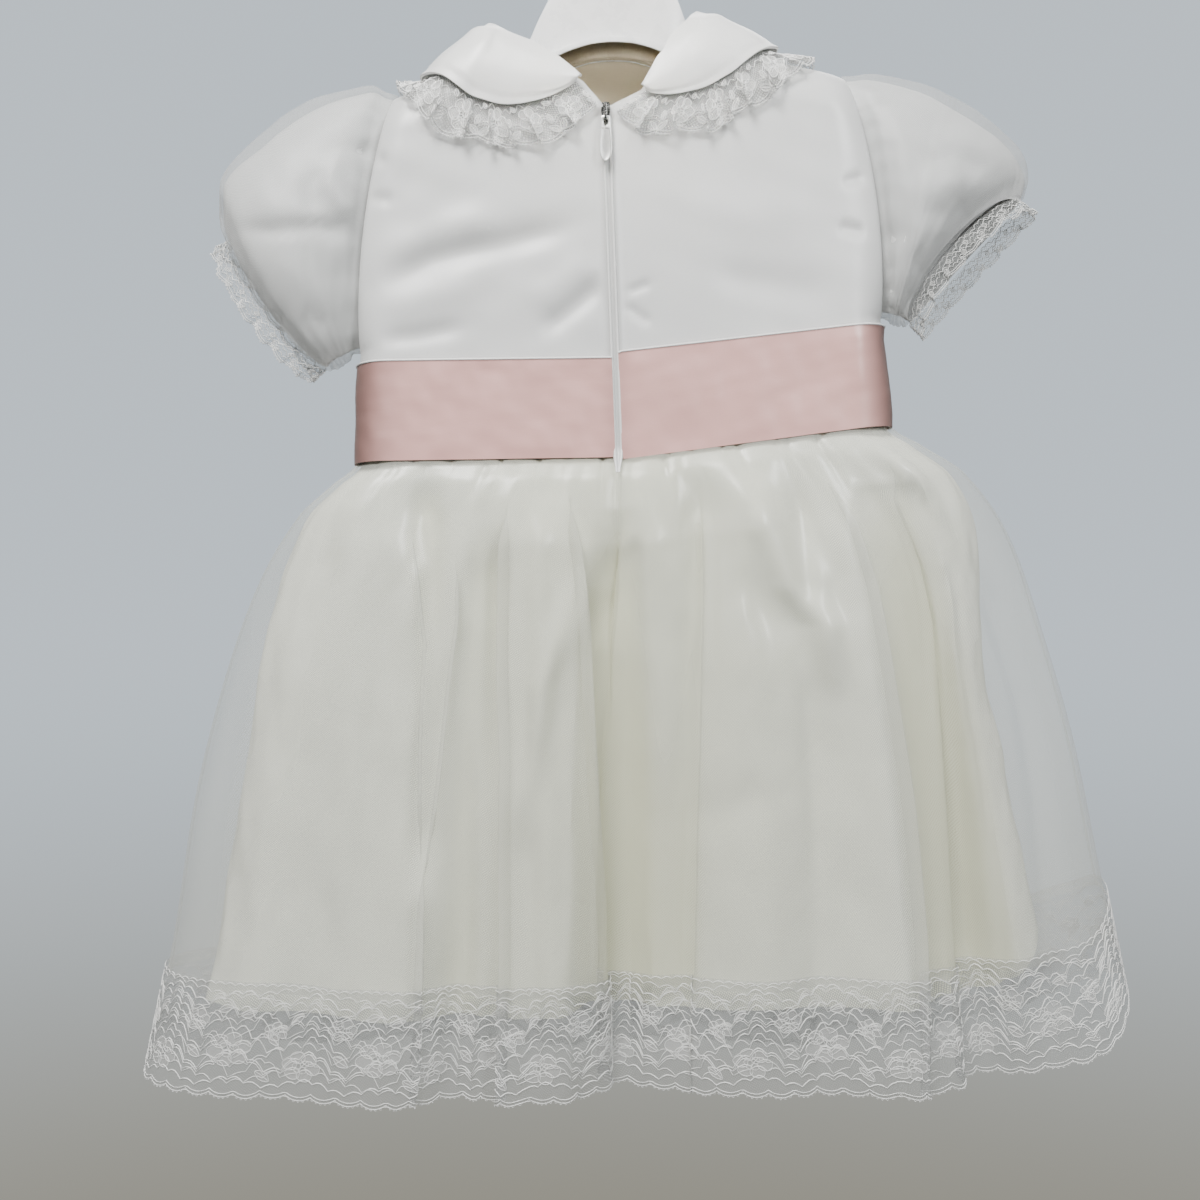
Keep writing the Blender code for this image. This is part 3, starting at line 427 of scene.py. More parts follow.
def gridMesh(name, points, outward, materials, closed=False, uv=None):
    # points is columns x rows x 3, in mm
    wide, high = points.shape[:2]
    flip = np.sum(gridNormals(points, closed) * outward) > 0
    index = np.arange(wide * high).reshape(wide, high)
    here = np.arange(wide if closed else wide - 1)
    there = (here + 1) % wide
    a, b, c, d = index[here, :-1], index[there, :-1], index[there, 1:], index[here, 1:]
    faces = np.stack([a, b, c, d] if flip else [a, d, c, b], axis=-1).reshape(-1, 4)
    if uv is None:
        u, v = arcLengths(points, 0).mean(axis=1), arcLengths(points, 1).mean(axis=0)
        uv = np.stack(np.meshgrid(u, v, indexing="ij"), axis=-1)
    flat = uv.reshape(-1, 2) * mm

    def uvAt(corners):
        places = flat[corners]
        if closed:  # the last column of faces runs on past the seam
            last = np.repeat(np.repeat(here == wide - 1, high - 1), 4)
            step = np.linalg.norm(points[0] - points[-1], axis=1).mean() * mm
            places[last & np.isin(corners, index[0]), 0] = flat[:, 0].max() + step
        return places

    return newPiece(name, points.reshape(-1, 3), faces.tolist(), materials, uvAt)


def alone(piece):
    bpy.ops.object.select_all(action="DESELECT")
    piece.select_set(True)
    bpy.context.view_layer.objects.active = piece


def applyModifiers(piece):
    alone(piece)
    for modifier in list(piece.modifiers):
        bpy.ops.object.modifier_apply(modifier=modifier.name)


def withPaintedShade(piece, depth):
    # painted shade for the material, from 0 to 1: how deep in a fold, turned end or groove each point lies
    layer = piece.data.attributes.new("paintedShade", "FLOAT", "POINT")
    layer.data.foreach_set("value", np.clip(depth, 0.0, 1.0).reshape(-1))


def thickened(piece, wall, inside=0):
    # a real cloth thickness grown inwards from the outer face
    solid = piece.modifiers.new("wall", "SOLIDIFY")
    solid.thickness = wall * mm
    solid.offset = -1.0
    solid.material_offset = inside
    solid.use_even_offset = False
    applyModifiers(piece)
    piece.data.set_sharp_from_angle(angle=math.radians(50))
    return piece


def dressed(piece, nodes, body="gown"):
    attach(piece, body)
    if nodes:
        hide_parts(*nodes)
    return piece


def declared(piece, flat, area=None, layers=1):
    surface = sum(face.area for face in piece.data.polygons)
    print("  sheet", piece.name, "share", round(surface / layers / (area or flat[0] * flat[1]), 3))


def curved(a, b, c, d, s):
    # the smooth curve from b to c, between a and d
    return b + 0.5 * s * (c - a + s * (2 * a - 5 * b + 4 * c - d + s * (3 * (b - c) + d - a)))


def refined(points, columns, rows):
    # a finer grid through the same points, curved between them
    def through(values, count):
        n = len(values)
        places = np.linspace(0, n - 1, count)
        k = np.clip(places.astype(int), 0, n - 2)
        ends = values[np.maximum(k - 1, 0)], values[k], values[k + 1], values[np.minimum(k + 2, n - 1)]
        return curved(*ends, (places - k)[:, None, None])

    finer = through(points, columns)
    return through(finer.transpose(1, 0, 2), rows).transpose(1, 0, 2)


# the gown's shape, in mm: the same tables and surfaces as the solids

skirt = {
    "flat": 0.17, "bow": 4, "satinHem": 0.877, "laceHeight": 57, "laceOverlap": 6, "laceOut": 1.3,
    "size": table(
        ("down", "left", "right", "back", "front", "cap"),
        (0, -130, 142, -21.2, 19.2, 26),
        (0.022, -130.4, 142.4, -21.6, 19.6, 27),
        (0.05, -141, 156, -25.5, 23, 34),
        (0.1, -160, 181, -29.5, 27, 46),
        (0.21, -180, 204, -32, 30, 58),
        (0.38, -199, 221, -33.5, 32, 64),
        (0.56, -213, 236, -33.5, 34, 68),
        (0.78, -224, 249, -32, 35, 70),
        (1, -238, 262, -31, 36, 72),
    ),
    "folds": (  # place on the round at waist and hem, width, depth, where it starts
        (0.205, 0.205, 0.05, 5, 0.05),
        (0.125, 0.117, 0.045, 8, 0.1),
        (0.094, 0.08, 0.018, -7, 0.08),
        (0.086, 0.05, 0.02, 8, 0.03),
        (-0.002, 0, 0.022, -13, 0.1),
        (0.985, 0.988, 0.034, -12, 0.16),
        (0.925, 0.925, 0.04, 5, 0.12),
        (0.852, 0.862, 0.022, 5, 0.04),
        (0.832, 0.828, 0.034, -27, 0.1),
        (0.785, 0.78, 0.036, 6, 0.1),
        (0.66, 0.66, 0.036, 6, 0.08),
        (0.6, 0.595, 0.03, -8, 0.1),
        (0.535, 0.535, 0.036, 6, 0.08),
        (0.47, 0.475, 0.03, -8, 0.12),
        (0.41, 0.405, 0.034, 6, 0.08),
        (0.35, 0.345, 0.03, -8, 0.1),
    ),
    "hem": table(
        ("around", "z"),
        (0, -651.6), (0.05, -653.4), (0.115, -655), (0.18, -652), (0.25, -650), (0.38, -648),
        (0.5, -650), (0.62, -649), (0.68, -636), (0.72, -612), (0.75, -602), (0.79, -634),
        (0.83, -649), (0.862, -651), (0.92, -649.4), (1, -651.6),
    ),
    "waist": table(("x", "z"), (-131, -332.7), (3.15, -331.4), (143, -313.3)),
    "pleats": (  # path of the edge in x and z, the side that lies on top, lap, lift, where it starts
        (((-46, -339), (-50.5, -358.6), (-53.4, -385.3), (-52.4, -487),
          (-52.9, -655)), "right", 7.5, 2.2, 0.04),
        (((-25.8, -343.8), (-21.3, -355.1), (-16.9, -388.2), (-13.4, -417.9), (-10, -487), (-6, -556),
          (-4, -655)), "left", 8.5, 2.6, 0.03),
        (((90.3, -331.5), (101, -345), (117.5, -368.5), (127, -400), (132.3, -427.8), (144.7, -506.8),
          (151.1, -576), (151.5, -655)), "left", 8.5, 2.6, 0.02),
        (((124.4, -325), (140.2, -358.6), (154.6, -390.7), (162, -420.8), (166, -501.9), (171, -581),
          (173, -640)), "left", 4.5, 1.6, 0.02),
        (((-80, -345), (-76, -396.6), (-76, -417.9), (-84, -487), (-92, -556),
          (-97, -655)), "left", 3.6, 1.4, 0.12),
        (((4.5, -350), (3, -390), (0.5, -430), (0, -487), (2, -556), (3, -655)), "right", 3.4, 1.3, 0.1),
        (((41, -338), (44, -360), (45, -400), (44, -440), (42, -520), (40, -640)), "right", 2.4, 0.7, 0.06),
        (((-96, -345), (-98, -380), (-92, -430), (-94, -520), (-98, -640)), "right", 3, 1, 0.08),
    ),
    "bands": (  # soft valleys (depth below 0) and ridges: path in x and z, width, depth
        (((-92, -345), (-90, -371), (-88.5, -417.9), (-92, -520)), 8.5, -6),
        (((-59, -378), (-58, -420), (-57.5, -520), (-58, -655)), 6, -6.5),
        (((-36, -360), (-35, -420), (-32, -520), (-29, -650)), 9, 4.4),
        (((3.9, -372), (0, -403), (-6, -432.7), (-9, -487), (-5, -556), (-3, -655)), 4.5, -4.4),
        (((41, -345), (43, -385), (41, -417.9), (38, -500), (36, -600)), 8, -4.6),
        (((60, -340), (64, -400), (68, -480), (72, -600)), 13, 3.4),
        (((100, -372), (116, -420), (126, -500), (130, -640)), 12, 2.4),
        (((138, -345), (150, -372), (160, -410), (166, -450), (172, -500), (180, -580)), 6.5, -3.6),
        (((133, -330), (152, -360), (172, -400), (186, -450), (198, -540), (206, -640)), 8, 5),
        (((140, -345), (163, -372), (186, -410), (202, -460), (214, -540), (222, -620)), 5, -4),
        (((-118, -345), (-124, -400), (-128, -480), (-132, -600)), 10, 3.2),
        (((-140, -370), (-150, -430), (-160, -520), (-166, -640)), 7, -2.6),
        (((15, -345), (20, -400), (18, -500), (16, -640)), 9, 2.6),
        (((68, -350), (75, -374), (88, -402), (103, -420)), 8.5, 6.5),
        (((92, -352), (99, -375), (110, -396)), 6.5, -3),
        (((-12, -385), (-22, -415), (-34, -450), (-42, -500)), 7, 4),
        (((84, -335), (92, -370), (98, -440), (100, -540), (100, -640)), 6, -2.2),
    ),
    "gathers": {"count": 52, "width": (0.9, 3.0), "depth": (0.5, 4.6), "puff": 3.6},
    "softFolds": {"count": 44, "width": (5.0, 13.0), "depth": (-2.6, 2.4)},
    "tulleSeed": 11, "satinSeed": 47, "drawnIn": (12.0, 30.0),
}

bodice = {
    "chest": 22, "front": 20, "shoulderRoll": 26, "sideRoll": 0.14, "armhole": 12.8, "armholeBow": 4.5,
    "zipGap": 3.3, "wall": 1,
    "side": table(("up", "left", "right"), (-0.1, -131, 143), (0, -131, 143), (0.28, -129.4, 138.4),
                  (1, -112.5, 120.6)),
    "backTop": table(
        ("x", "z", "y"),
        (-112.5, -149.5, -0.15), (-95, -146, -0.15), (-80, -134, -0.15), (-62, -119.5, -0.15),
        (-55, -123.5, -10), (-42, -131.5, -16.5), (-28, -139.8, -20), (-14.5, -148.5, -22),
        (-4.6, -160, -22), (-1.6, -161, -22), (14.5, -153, -22), (25.5, -137, -21),
        (34, -126, -17.5), (40, -118.8, -12), (45, -113.5, -0.15), (83, -131.5, -0.15),
        (120.6, -139.5, -0.15),
    ),
    "frontTop": table(
        ("x", "z", "y"),
        (-112.5, -149.5, 0.15), (-95, -146, 0.15), (-80, -134, 0.15), (-62, -119.5, 0.15),
        (-55, -120, 8), (-45, -120.4, 14), (-20, -120.8, 18), (0, -120.8, 18.5),
        (18, -120, 18), (34, -117.8, 15.5), (40, -116.2, 11.5), (45, -113.5, 0.15),
        (83, -131.5, 0.15), (120.6, -139.5, 0.15),
    ),
    "creases": (  # path in x and z, width, depth
        (((-119, -252), (-91, -237), (-50, -228), (-12, -218.5)), 7, -2.6),
        (((-118, -240), (-90, -225), (-50, -213)), 9, 1.4),
        (((-120, -278.5), (-99, -276), (-70, -270)), 5, -1.7),
        (((-118, -265), (-90, -256), (-60, -248)), 8, 1.2),
        (((-38.5, -276), (-20, -262), (-1, -245)), 5.5, -2.2),
        (((-44, -262), (-24, -249), (-6, -232)), 8, 1.2),
        (((6, -254.5), (20.5, -249)), 2.6, -1),
        (((6, -260), (20.5, -270.5)), 2.6, -1.1),
        (((128, -224), (112, -221)), 3.4, -1.4),
        (((118, -255), (80, -248), (45, -246)), 9, -1.1),
        (((-126, -180), (-112, -190)), 3.2, -1.1),
        (((-127, -205), (-108, -208)), 3.4, -1.1),
        (((128, -195), (114, -200)), 3, -1),
        (((30, -205), (60, -215), (100, -213)), 12, 0.9),
    ),
}

sash = {
    # turn: how far in from each end of the sash the painted shade reaches
    "out": 1.7, "wall": 1.1, "turn": {"back_left": 17, "back_right": 12, "front": 14.0},
    "edges": table(("x", "top", "bottom"), (-131, -289, -338.7), (1.5, -287.3, -336.7),
                   (4.8, -284.3, -337.7), (143, -268.5, -319.3)),
}

sleeveColumns = ("along", "topX", "topZ", "lowX", "lowZ", "depth", "near", "bow")
sleeves = {
    "left": table(
        sleeveColumns,
        (0, -113.1, -147.5, -130, -281, 13, 0, 4.5),
        (0.12, -122.5, -141.8, -133.5, -284, 20, 0, 4),
        (0.35, -152, -149.5, -137, -286.6, 27, 1, 3),
        (0.6, -182, -170, -140, -288.4, 29, 3, 0),
        (0.8, -202, -192, -142, -289.4, 25, 6, 0),
        (0.92, -201.5, -208, -143.4, -289.8, 18, 8, 0),
        (1, -196, -219, -144.6, -290, 13, 9, 0),
    ),
    "right": table(
        sleeveColumns,
        (0, 121.2, -137.5, 139.4, -262.5, 13, 0, 4.5),
        (0.12, 131, -135, 142, -264, 20, -1, 4),
        (0.35, 161, -141.5, 145, -265.6, 27, -5, 3),
        (0.6, 190, -157, 147.6, -266.6, 29, -10, 0),
        (0.8, 211, -176, 149.6, -267.2, 25, -12.5, 0),
        (0.92, 216, -190, 151, -267.4, 18.5, -12.5, 0),
        (1, 213, -201, 152.2, -267.4, 14, -12, 0),
    ),
}
sleeveLooks = {
    "headGathers": 30, "cuffGathers": 26, "gatherDepth": 2.6, "seed": 5, "laceWidth": 10.4, "tuck": 3.2,
    "creases": {  # path in x and z on the back, width, depth
        "left": (
            (((-189, -223), (-170, -224.5), (-148, -222), (-126, -224)), 3.6, -3.4),
            (((-184, -212), (-160, -211), (-135, -213)), 9, 1.6),
            (((-166, -205), (-141.5, -213)), 6, -1.2),
            (((-156.5, -265.5), (-141.5, -270.5)), 6, -1.4),
            (((-180, -235), (-160, -245), (-145, -262)), 8, 1.4),
            (((-172, -180), (-150, -176), (-128, -182)), 8, -1.3),
            (((-114, -166.7), (-120.7, -178.2), (-132.1, -181.7)), 2.6, -2.8),
            (((-137.1, -183.2), (-141.6, -199.6), (-127.1, -222.5)), 4.5, 3),
            (((-143, -190), (-150.6, -203.1), (-146, -216)), 6.5, -2),
            (((-122, -206), (-128, -214), (-140, -221)), 3, -1.6),
        ),
        "right": (
            (((150, -190), (172, -186), (194, -194)), 5.5, -2.2),
            (((156, -178), (170, -192), (176, -208)), 5, 1.8),
            (((148, -215), (165, -216), (185, -210)), 6, -1.6),
            (((152, -170), (176, -168), (200, -176)), 7, -1.2),
            (((150, -203), (170, -201), (190, -202)), 7, 1.4),
            (((148, -238), (158, -236)), 5, -1.4),
        ),
    },
}

collarStations = np.array((
    0, 0.03, 0.06, 0.105, 0.15, 0.2, 0.25, 0.3, 0.34, 0.38, 0.42, 0.44, 0.46, 0.475, 0.49,
    0.5, 0.51, 0.525, 0.54, 0.58, 0.62, 0.66, 0.7, 0.75, 0.8, 0.85, 0.9, 0.95, 1,
))
collarColumns = ("along", "neckX", "neckZ", "edgeX", "edgeZ", "laceX", "laceZ")
collars = {
    "left": table(
        collarColumns,
        (0, -14.5, -147, -17.5, -149.8, -6.4, -160.5),
        (0.06, -19, -144.5, -23.5, -154, -10.5, -166),
        (0.15, -27.5, -139, -34, -158.5, -21, -175),
        (0.3, -42, -130.5, -52, -161.5, -46, -183),
        (0.42, -54, -123, -70, -157, -76, -179),
        (0.46, -59, -119.5, -82, -149, -96, -167),
        (0.5, -62, -119.5, -94, -145.2, -109, -148.8),
        (0.54, -59, -119.5, -82, -149, -94, -168),
        (0.58, -54, -120.2, -70, -155, -76, -178),
        (0.75, -30, -120.7, -42, -155, -42, -176),
        (1, -2.5, -120.8, -3.5, -144, -3.5, -163),
    ),
    "right": table(
        collarColumns,
        (0, 14.2, -152, 16.5, -154, 1.2, -163.5),
        (0.06, 16.8, -149, 20.5, -156, 6, -170),
        (0.15, 20.6, -143.5, 27, -156.5, 17, -176),
        (0.3, 29.5, -132, 43.7, -153.5, 47, -175),
        (0.42, 38.5, -119.5, 61, -144.3, 68, -163.5),
        (0.46, 42.5, -115.5, 72, -136.5, 86, -152.5),
        (0.5, 45, -113.5, 82.5, -131.3, 104, -136),
        (0.54, 42.5, -115.5, 72, -137, 86, -154),
        (0.58, 38.5, -116.8, 61, -144, 68, -164),
        (0.75, 22, -119.6, 36, -152, 36, -173),
        (1, 2.5, -120.8, 3.5, -144, 3.5, -163),
    ),
}
collarLooks = {"netWall": 0.8, "gap": 0.9, "cloth": 1.4, "roll": 1.6, "belly": 1.8, "laceLift": 2.4,
               "lift": 3.6}


def waistHeight(x):
    return readLine(skirt["waist"], "x", x, "z")


centreLine = {"neck": (-3.1, -160.0), "waist": (3.15, -331.0), "hem": (-3.6, -651.0)}  # x and z


def centreBack(height):
    (neckX, neckZ), (waistX, waistZ), (hemX, hemZ) = centreLine.values()
    return np.where(height > waistZ, mix(neckX, waistX, (neckZ - height) / (neckZ - waistZ)),
                    mix(waistX, hemX, (waistZ - height) / (waistZ - hemZ)))


def middleAt(down):
    return mix(centreLine["waist"][0], centreLine["hem"][0], down)


def sizeAt(name, down):
    return readSmooth(skirt["size"], "down", down, name)


def reachAt(left, down):
    # from the middle line to the side
    return np.where(left, middleAt(down) - sizeAt("left", down), sizeAt("right", down) - middleAt(down))


aroundMm, downMm = 1000.0, 320.0  # about how much cloth a whole round and a whole fall are


def wrapped(offset):
    return (offset + 0.5) % 1.0 - 0.5


def skirtRound(around, down):
    # the round without its folds: x, y and the way out
    around, down = np.broadcast_arrays(np.asarray(around) % 1.0, np.asarray(down, float))
    flat, left = skirt["flat"], around <= 0.5
    turn = np.where(left, around, 1.0 - around)
    back, front, cap = (sizeAt(name, down) for name in ("back", "front", "cap"))
    reach = reachAt(left, down)
    straight, half = reach - cap, (front - back) / 2
    angle = np.clip(math.pi * (turn - flat) / (0.5 - 2 * flat), 0.0, math.pi)
    atBack, atFront = turn <= flat, turn >= 0.5 - flat
    out = np.where(atBack, straight * turn / flat,
                   np.where(atFront, straight * (0.5 - turn) / flat, straight + cap * np.sin(angle)))
    y = (front + back) / 2 - half * np.cos(angle)
    nx = np.where(atBack | atFront, 0.0, half * np.sin(angle))
    ny = np.where(atBack, -1.0, np.where(atFront, 1.0, -cap * np.cos(angle)))
    length = np.hypot(nx, ny)
    nx, ny = nx / length, ny / length
    bow = skirt["bow"] * (1.0 - (out / reach) ** 2) * np.minimum(down / 0.15, 1.0)
    y = y + np.where(turn > 0.25, bow, -bow)
    return middleAt(down) + np.where(left, -out, out), y, np.where(left, -nx, nx), ny


def foldHeight(around, down):
    total = np.zeros(np.broadcast(around, down).shape)
    for atWaist, atHem, width, depth, starts in skirt["folds"]:
        offset = wrapped(around - mix(atWaist, atHem, down))
        grown = np.clip((down - starts) / (1.0 - starts), 0.0, 1.0) ** 0.7
        fold = depth * grown * np.cos(math.pi / 2 * offset / width) ** 2
        total = total + np.where(np.abs(offset) < width, fold, 0.0)
    return total


def skirtHeights(around):
    x, _, _, _ = skirtRound(around, 0.0)
    return waistHeight(x) - 0.5, readSmooth(skirt["hem"], "around", np.asarray(around) % 1.0, "z")


def placeOnRound(path):
    # x and z on the back as share down and place on the round
    x, z = np.array(path, float).T
    flat, around = skirt["flat"], np.zeros(len(x))
    for _ in range(6):
        top, bottom = skirtHeights(around)
        down = np.clip((top - z) / (top - bottom), 0.0, 1.0)
        left, out = x <= middleAt(down), np.abs(x - middleAt(down))
        cap = sizeAt("cap", down)
        straight = reachAt(left, down) - cap
        beyond = np.arcsin(np.clip((out - straight) / cap, 0.0, 1.0)) / math.pi * (0.5 - 2 * flat)
        turn = np.where(out < straight, out / straight * flat, flat + beyond)
        around = np.where(left, turn, -turn)
    return down, around


def roundScale(down):
    # mm of cloth for the whole round, on the flat part
    reach = (sizeAt("right", down) - sizeAt("left", down)) / 2
    return (reach - sizeAt("cap", down)) / skirt["flat"]


def besideLine(path, around, down):
    # mm to the side of a line on the back, and the shares down where it starts and ends
    atDown, atAround = placeOnRound(path)
    away = wrapped(around - np.interp(down, atDown, atAround)) * roundScale(down)
    return away, atDown[0], atDown[-1]


def gathersAt(around, down, seed):
    # sharp creases that run down from the waist seam and die out
    random = np.random.default_rng(seed)
    look, scale, total = skirt["gathers"], roundScale(down), 0.0
    starts = smooth(down / 0.03) * 0.85 + 0.15
    for k in range(look["count"]):
        middle = (k + random.uniform(-0.42, 0.42)) / look["count"]
        width, depth = random.uniform(*look["width"]), mix(*look["depth"], random.random() ** 1.5)
        reach = random.uniform(0.025, 0.10)
        if random.random() > 0.72:
            reach, depth = random.uniform(0.13, 0.36), 0.45 * depth
        drift = random.uniform(-0.016, 0.016)
        away = np.abs(wrapped(around - middle - drift * np.minimum(down / 0.2, 1.6))) * scale
        fade = np.exp(-(down / reach) ** 1.5)
        total = total - depth * starts * fade * np.exp(-away / (width * (0.8 + 8.0 * down)))
    return total + look["puff"] * smooth((down - 0.012) / 0.014) * np.exp(-((down - 0.03) / 0.05) ** 2)


def softFoldsAt(around, down, seed):
    random = np.random.default_rng(seed + 1)
    look, scale, total = skirt["softFolds"], roundScale(down), 0.0
    for k in range(look["count"]):
        middle = (k + random.uniform(-0.45, 0.45)) / look["count"]
        width, depth = random.uniform(*look["width"]), random.uniform(*look["depth"])
        top, drift = random.uniform(0.01, 0.25), random.uniform(-0.012, 0.012)
        low = random.uniform(0.45, 1.5)
        away = wrapped(around - middle - drift * down) * scale
        grown = smooth((down - top) / 0.2) * (1.0 - 0.85 * smooth((down - low) / 0.4))
        total = total + depth * grown * np.exp(-(away / (width * (0.7 + 0.5 * down))) ** 2)
    return total


def bandsAt(around, down):
    total = 0.0
    for path, width, depth in skirt["bands"]:
        away, start, end = besideLine(path, around, down)
        inside = smooth((down - start) / 0.1 + 0.3) * (1.0 - smooth((down - end) / 0.12))
        total = total + depth * inside * np.exp(-(away / width) ** 2)
    return total


def lapsAt(around, down):
    # pleats in which the cloth turns back under itself: out and sideways
    out, side = 0.0, 0.0
    for path, over, lap, lift, starts in skirt["pleats"]:
        away, _, _ = besideLine(path, around, down)
        span = 3.3 * lap
        grown = smooth((down - starts) / 0.12)
        side = side - np.where(np.abs(away) < span / 2, lap * np.sin(tau * away / span), 0.0) * grown
        raised = lift * grown if over == "left" else -lift * grown
        out = out + raised * np.tanh(away * 5.0 / span) * np.exp(-(away / (1.2 * span)) ** 2)
    return out, side


def skirtDetail(around, down):
    # what the tulle adds to the round: out and sideways, in mm
    around, down = np.broadcast_arrays(around, down)
    seed = skirt["tulleSeed"]
    out, side = lapsAt(around, down)
    out = out + gathersAt(around, down, seed) + softFoldsAt(around, down, seed) + bandsAt(around, down)
    return out, side


def paintedShadeAt(around, down, out):
    # painted warm shade: deeper in the folds, and a band beside the zip's line
    middle = 0.30 * np.exp(-(wrapped(around) * aroundMm / 120.0) ** 2)  # shade beside the zip's line
    return middle + 0.6 * smooth((-foldHeight(around, down) - out - 0.5) / 10.0) * (1.0 - middle)


def onSkirt(around, down, out=0.0, detail=None):
    x, y, nx, ny = skirtRound(around, down)
    detailOut, side = (0.0, 0.0) if detail is None else detail
    height = foldHeight(around, down) + out + detailOut
    top, bottom = skirtHeights(around)
    spots = x + nx * height + ny * side, y + ny * height - nx * side, mix(top, bottom, down)
    return np.stack(spots, axis=-1)


def bodiceSideX(side, up):
    x = readLine(bodice["side"], "up", up, side)
    share = np.clip((up - 0.28) / 0.72, 0.0, 1.0)
    bow = bodice["armholeBow"] * 4 * share * (1.0 - share)
    return x - bow if side == "left" else x + bow


def bodiceSideY(up):
    share = np.minimum(np.abs(up - 0.64) / 0.36, 1.0)
    return np.maximum(bodice["armhole"] * np.sqrt(1.0 - share * share), 0.15)


def bodiceDepth(toSide, up, sideY, topY, height, depth):
    y = mix(depth, sideY, quarterRoll((toSide - 1.0 + bodice["sideRoll"]) / bodice["sideRoll"]))
    rollStarts = 1.0 - bodice["shoulderRoll"] / height
    return mix(y, topY, quarterRoll((up - rollStarts) / (1.0 - rollStarts)))


def onBack(side, across, up):
    half = bodice["zipGap"] / 2 if side == "right" else -bodice["zipGap"] / 2
    (neckX, neckZ), (_, waistZ) = centreLine["neck"], centreLine["waist"]
    middleX = centreBack(mix(waistZ, neckZ, np.clip(up, 0.0, 1.0))) + half
    x = mix(middleX, bodiceSideX(side, up), across)
    edgeX = mix(neckX + half, bodiceSideX(side, np.array(1.0)), across)
    topZ, topY = (readLine(bodice["backTop"], "x", edgeX, name) for name in ("z", "y"))
    bottomZ = waistHeight(x)
    y = bodiceDepth(across, up, bodiceSideY(up), -topY, topZ - bottomZ, bodice["chest"])
    return np.stack(np.broadcast_arrays(x, -y, mix(bottomZ, topZ, up)), axis=-1)


def onFront(across, up):
    x = mix(bodiceSideX("left", up), bodiceSideX("right", up), across)
    edgeX = mix(bodiceSideX("left", np.array(1.0)), bodiceSideX("right", np.array(1.0)), across)
    topZ, topY = (readLine(bodice["frontTop"], "x", edgeX, name) for name in ("z", "y"))
    bottomZ = waistHeight(x)
    y = bodiceDepth(np.abs(across - 0.5) * 2, up, bodiceSideY(up), topY, topZ - bottomZ, bodice["front"])
    return np.stack(np.broadcast_arrays(x, y, mix(bottomZ, topZ, up)), axis=-1)


def panelAt(name):
    side = name.removeprefix("back_")
    return onFront if name == "front" else lambda across, up: onBack(side, across, up)


def onSash(panel, across, up):
    x = panel(across, np.full(np.shape(across), 0.1))[..., 0]
    low, high = (readLine(sash["edges"], "x", x, name) for name in ("bottom", "top"))
    waist = panel(across, np.zeros(np.shape(across)))[..., 2]
    reach = panel(across, np.full(np.shape(across), 0.5))[..., 2] - waist
    return panel(across, 0.5 * (mix(low, high, up) - waist) / reach)


def onSleeve(side, around, along, shrink=0.0):
    rows = sleeves[side]
    value = {name: readSmooth(rows, "along", along, name) for name in sleeveColumns[1:]}
    angle = tau * around
    fallX, fallZ = value["lowX"] - value["topX"], value["lowZ"] - value["topZ"]
    length = np.hypot(fallX, fallZ)
    fallX, fallZ = fallX / length, fallZ / length
    outX, outZ = (fallZ, -fallX) if side == "left" else (-fallZ, fallX)
    half = length / 2 - shrink
    share = (1.0 - np.cos(angle)) / 2
    near = value["near"] - 0.6 * shrink * np.minimum(np.abs(value["near"]) / 5.0, 1.0)
    push = value["bow"] * 4 * share * (1.0 - share) + near * np.maximum(np.sin(angle), 0.0)
    x = (value["topX"] + value["lowX"]) / 2 - fallX * half * np.cos(angle) + outX * push
    z = (value["topZ"] + value["lowZ"]) / 2 - fallZ * half * np.cos(angle) + outZ * push
    y = -(value["depth"] - shrink) * np.sin(angle)
    return np.stack(np.broadcast_arrays(x, y, z), axis=-1)


def onBodice(side, half, x, z):
    # the place on the bodice over x and z, and the way out of it
    panel, sign = panelAt("front" if half == "front" else f"back_{side}"), -1.0
    if half == "back" and side == "right":
        sign = 1.0
    across, up = np.full(np.shape(x), 0.5), np.full(np.shape(x), 0.9)
    none, whole = np.zeros_like(up), np.ones_like(up)
    for _ in range(12):
        low, high = panel(across, none)[..., 2], panel(across, whole)[..., 2]
        up = np.clip((z - low) / (high - low), 0.0, 1.0)
        start, end = panel(none, up)[..., 0], panel(whole, up)[..., 0]
        across = np.clip((x - start) / (end - start), 0.0, 1.0)
    step = 0.004
    alongU = panel(np.minimum(across + step, 1.0), up) - panel(np.maximum(across - step, 0.0), up)
    alongV = panel(across, np.minimum(up + step, 1.0)) - panel(across, np.maximum(up - step, 0.0))
    return panel(across, up), sign * unit(np.cross(alongU, alongV))


def collarBed(side, along, across, first, second):
    start = [readSmooth(collars[side], "along", along, first + axis) for axis in "XZ"]
    end = [readSmooth(collars[side], "along", along, second + axis) for axis in "XZ"]
    x, z = (mix(a, b, across) for a, b in zip(start, end))
    backSpot, backOut = onBodice(side, "back", x, z)
    frontSpot, frontOut = onBodice(side, "front", x, z)
    back = (along <= 0.5)[..., None]
    return np.where(back, backSpot, frontSpot), np.where(back, backOut, frontOut)


def overShoulder(along):
    return np.maximum(1.0 - np.abs(along - 0.5) / 0.08, 0.0)


def onCollar(side, along, across):
    spot, out = collarBed(side, along, across, "neck", "edge")
    look = collarLooks
    distance = look["netWall"] + 2 * look["gap"] + look["cloth"] + look["belly"] * np.sin(math.pi * across)
    distance = distance + look["lift"] * overShoulder(along)
    spot = spot + out * distance[..., None]
    spot[..., 2] += look["roll"] * (1.0 - across) ** 2
    return spot


def onCollarLace(side, along, across):
    spot, out = collarBed(side, along, mix(-0.12, 1.0, across), "edge", "lace")
    look = collarLooks
    distance = look["netWall"] + look["gap"] + look["laceLift"] * overShoulder(along)
    return spot + out * distance[..., None], out


# skirt

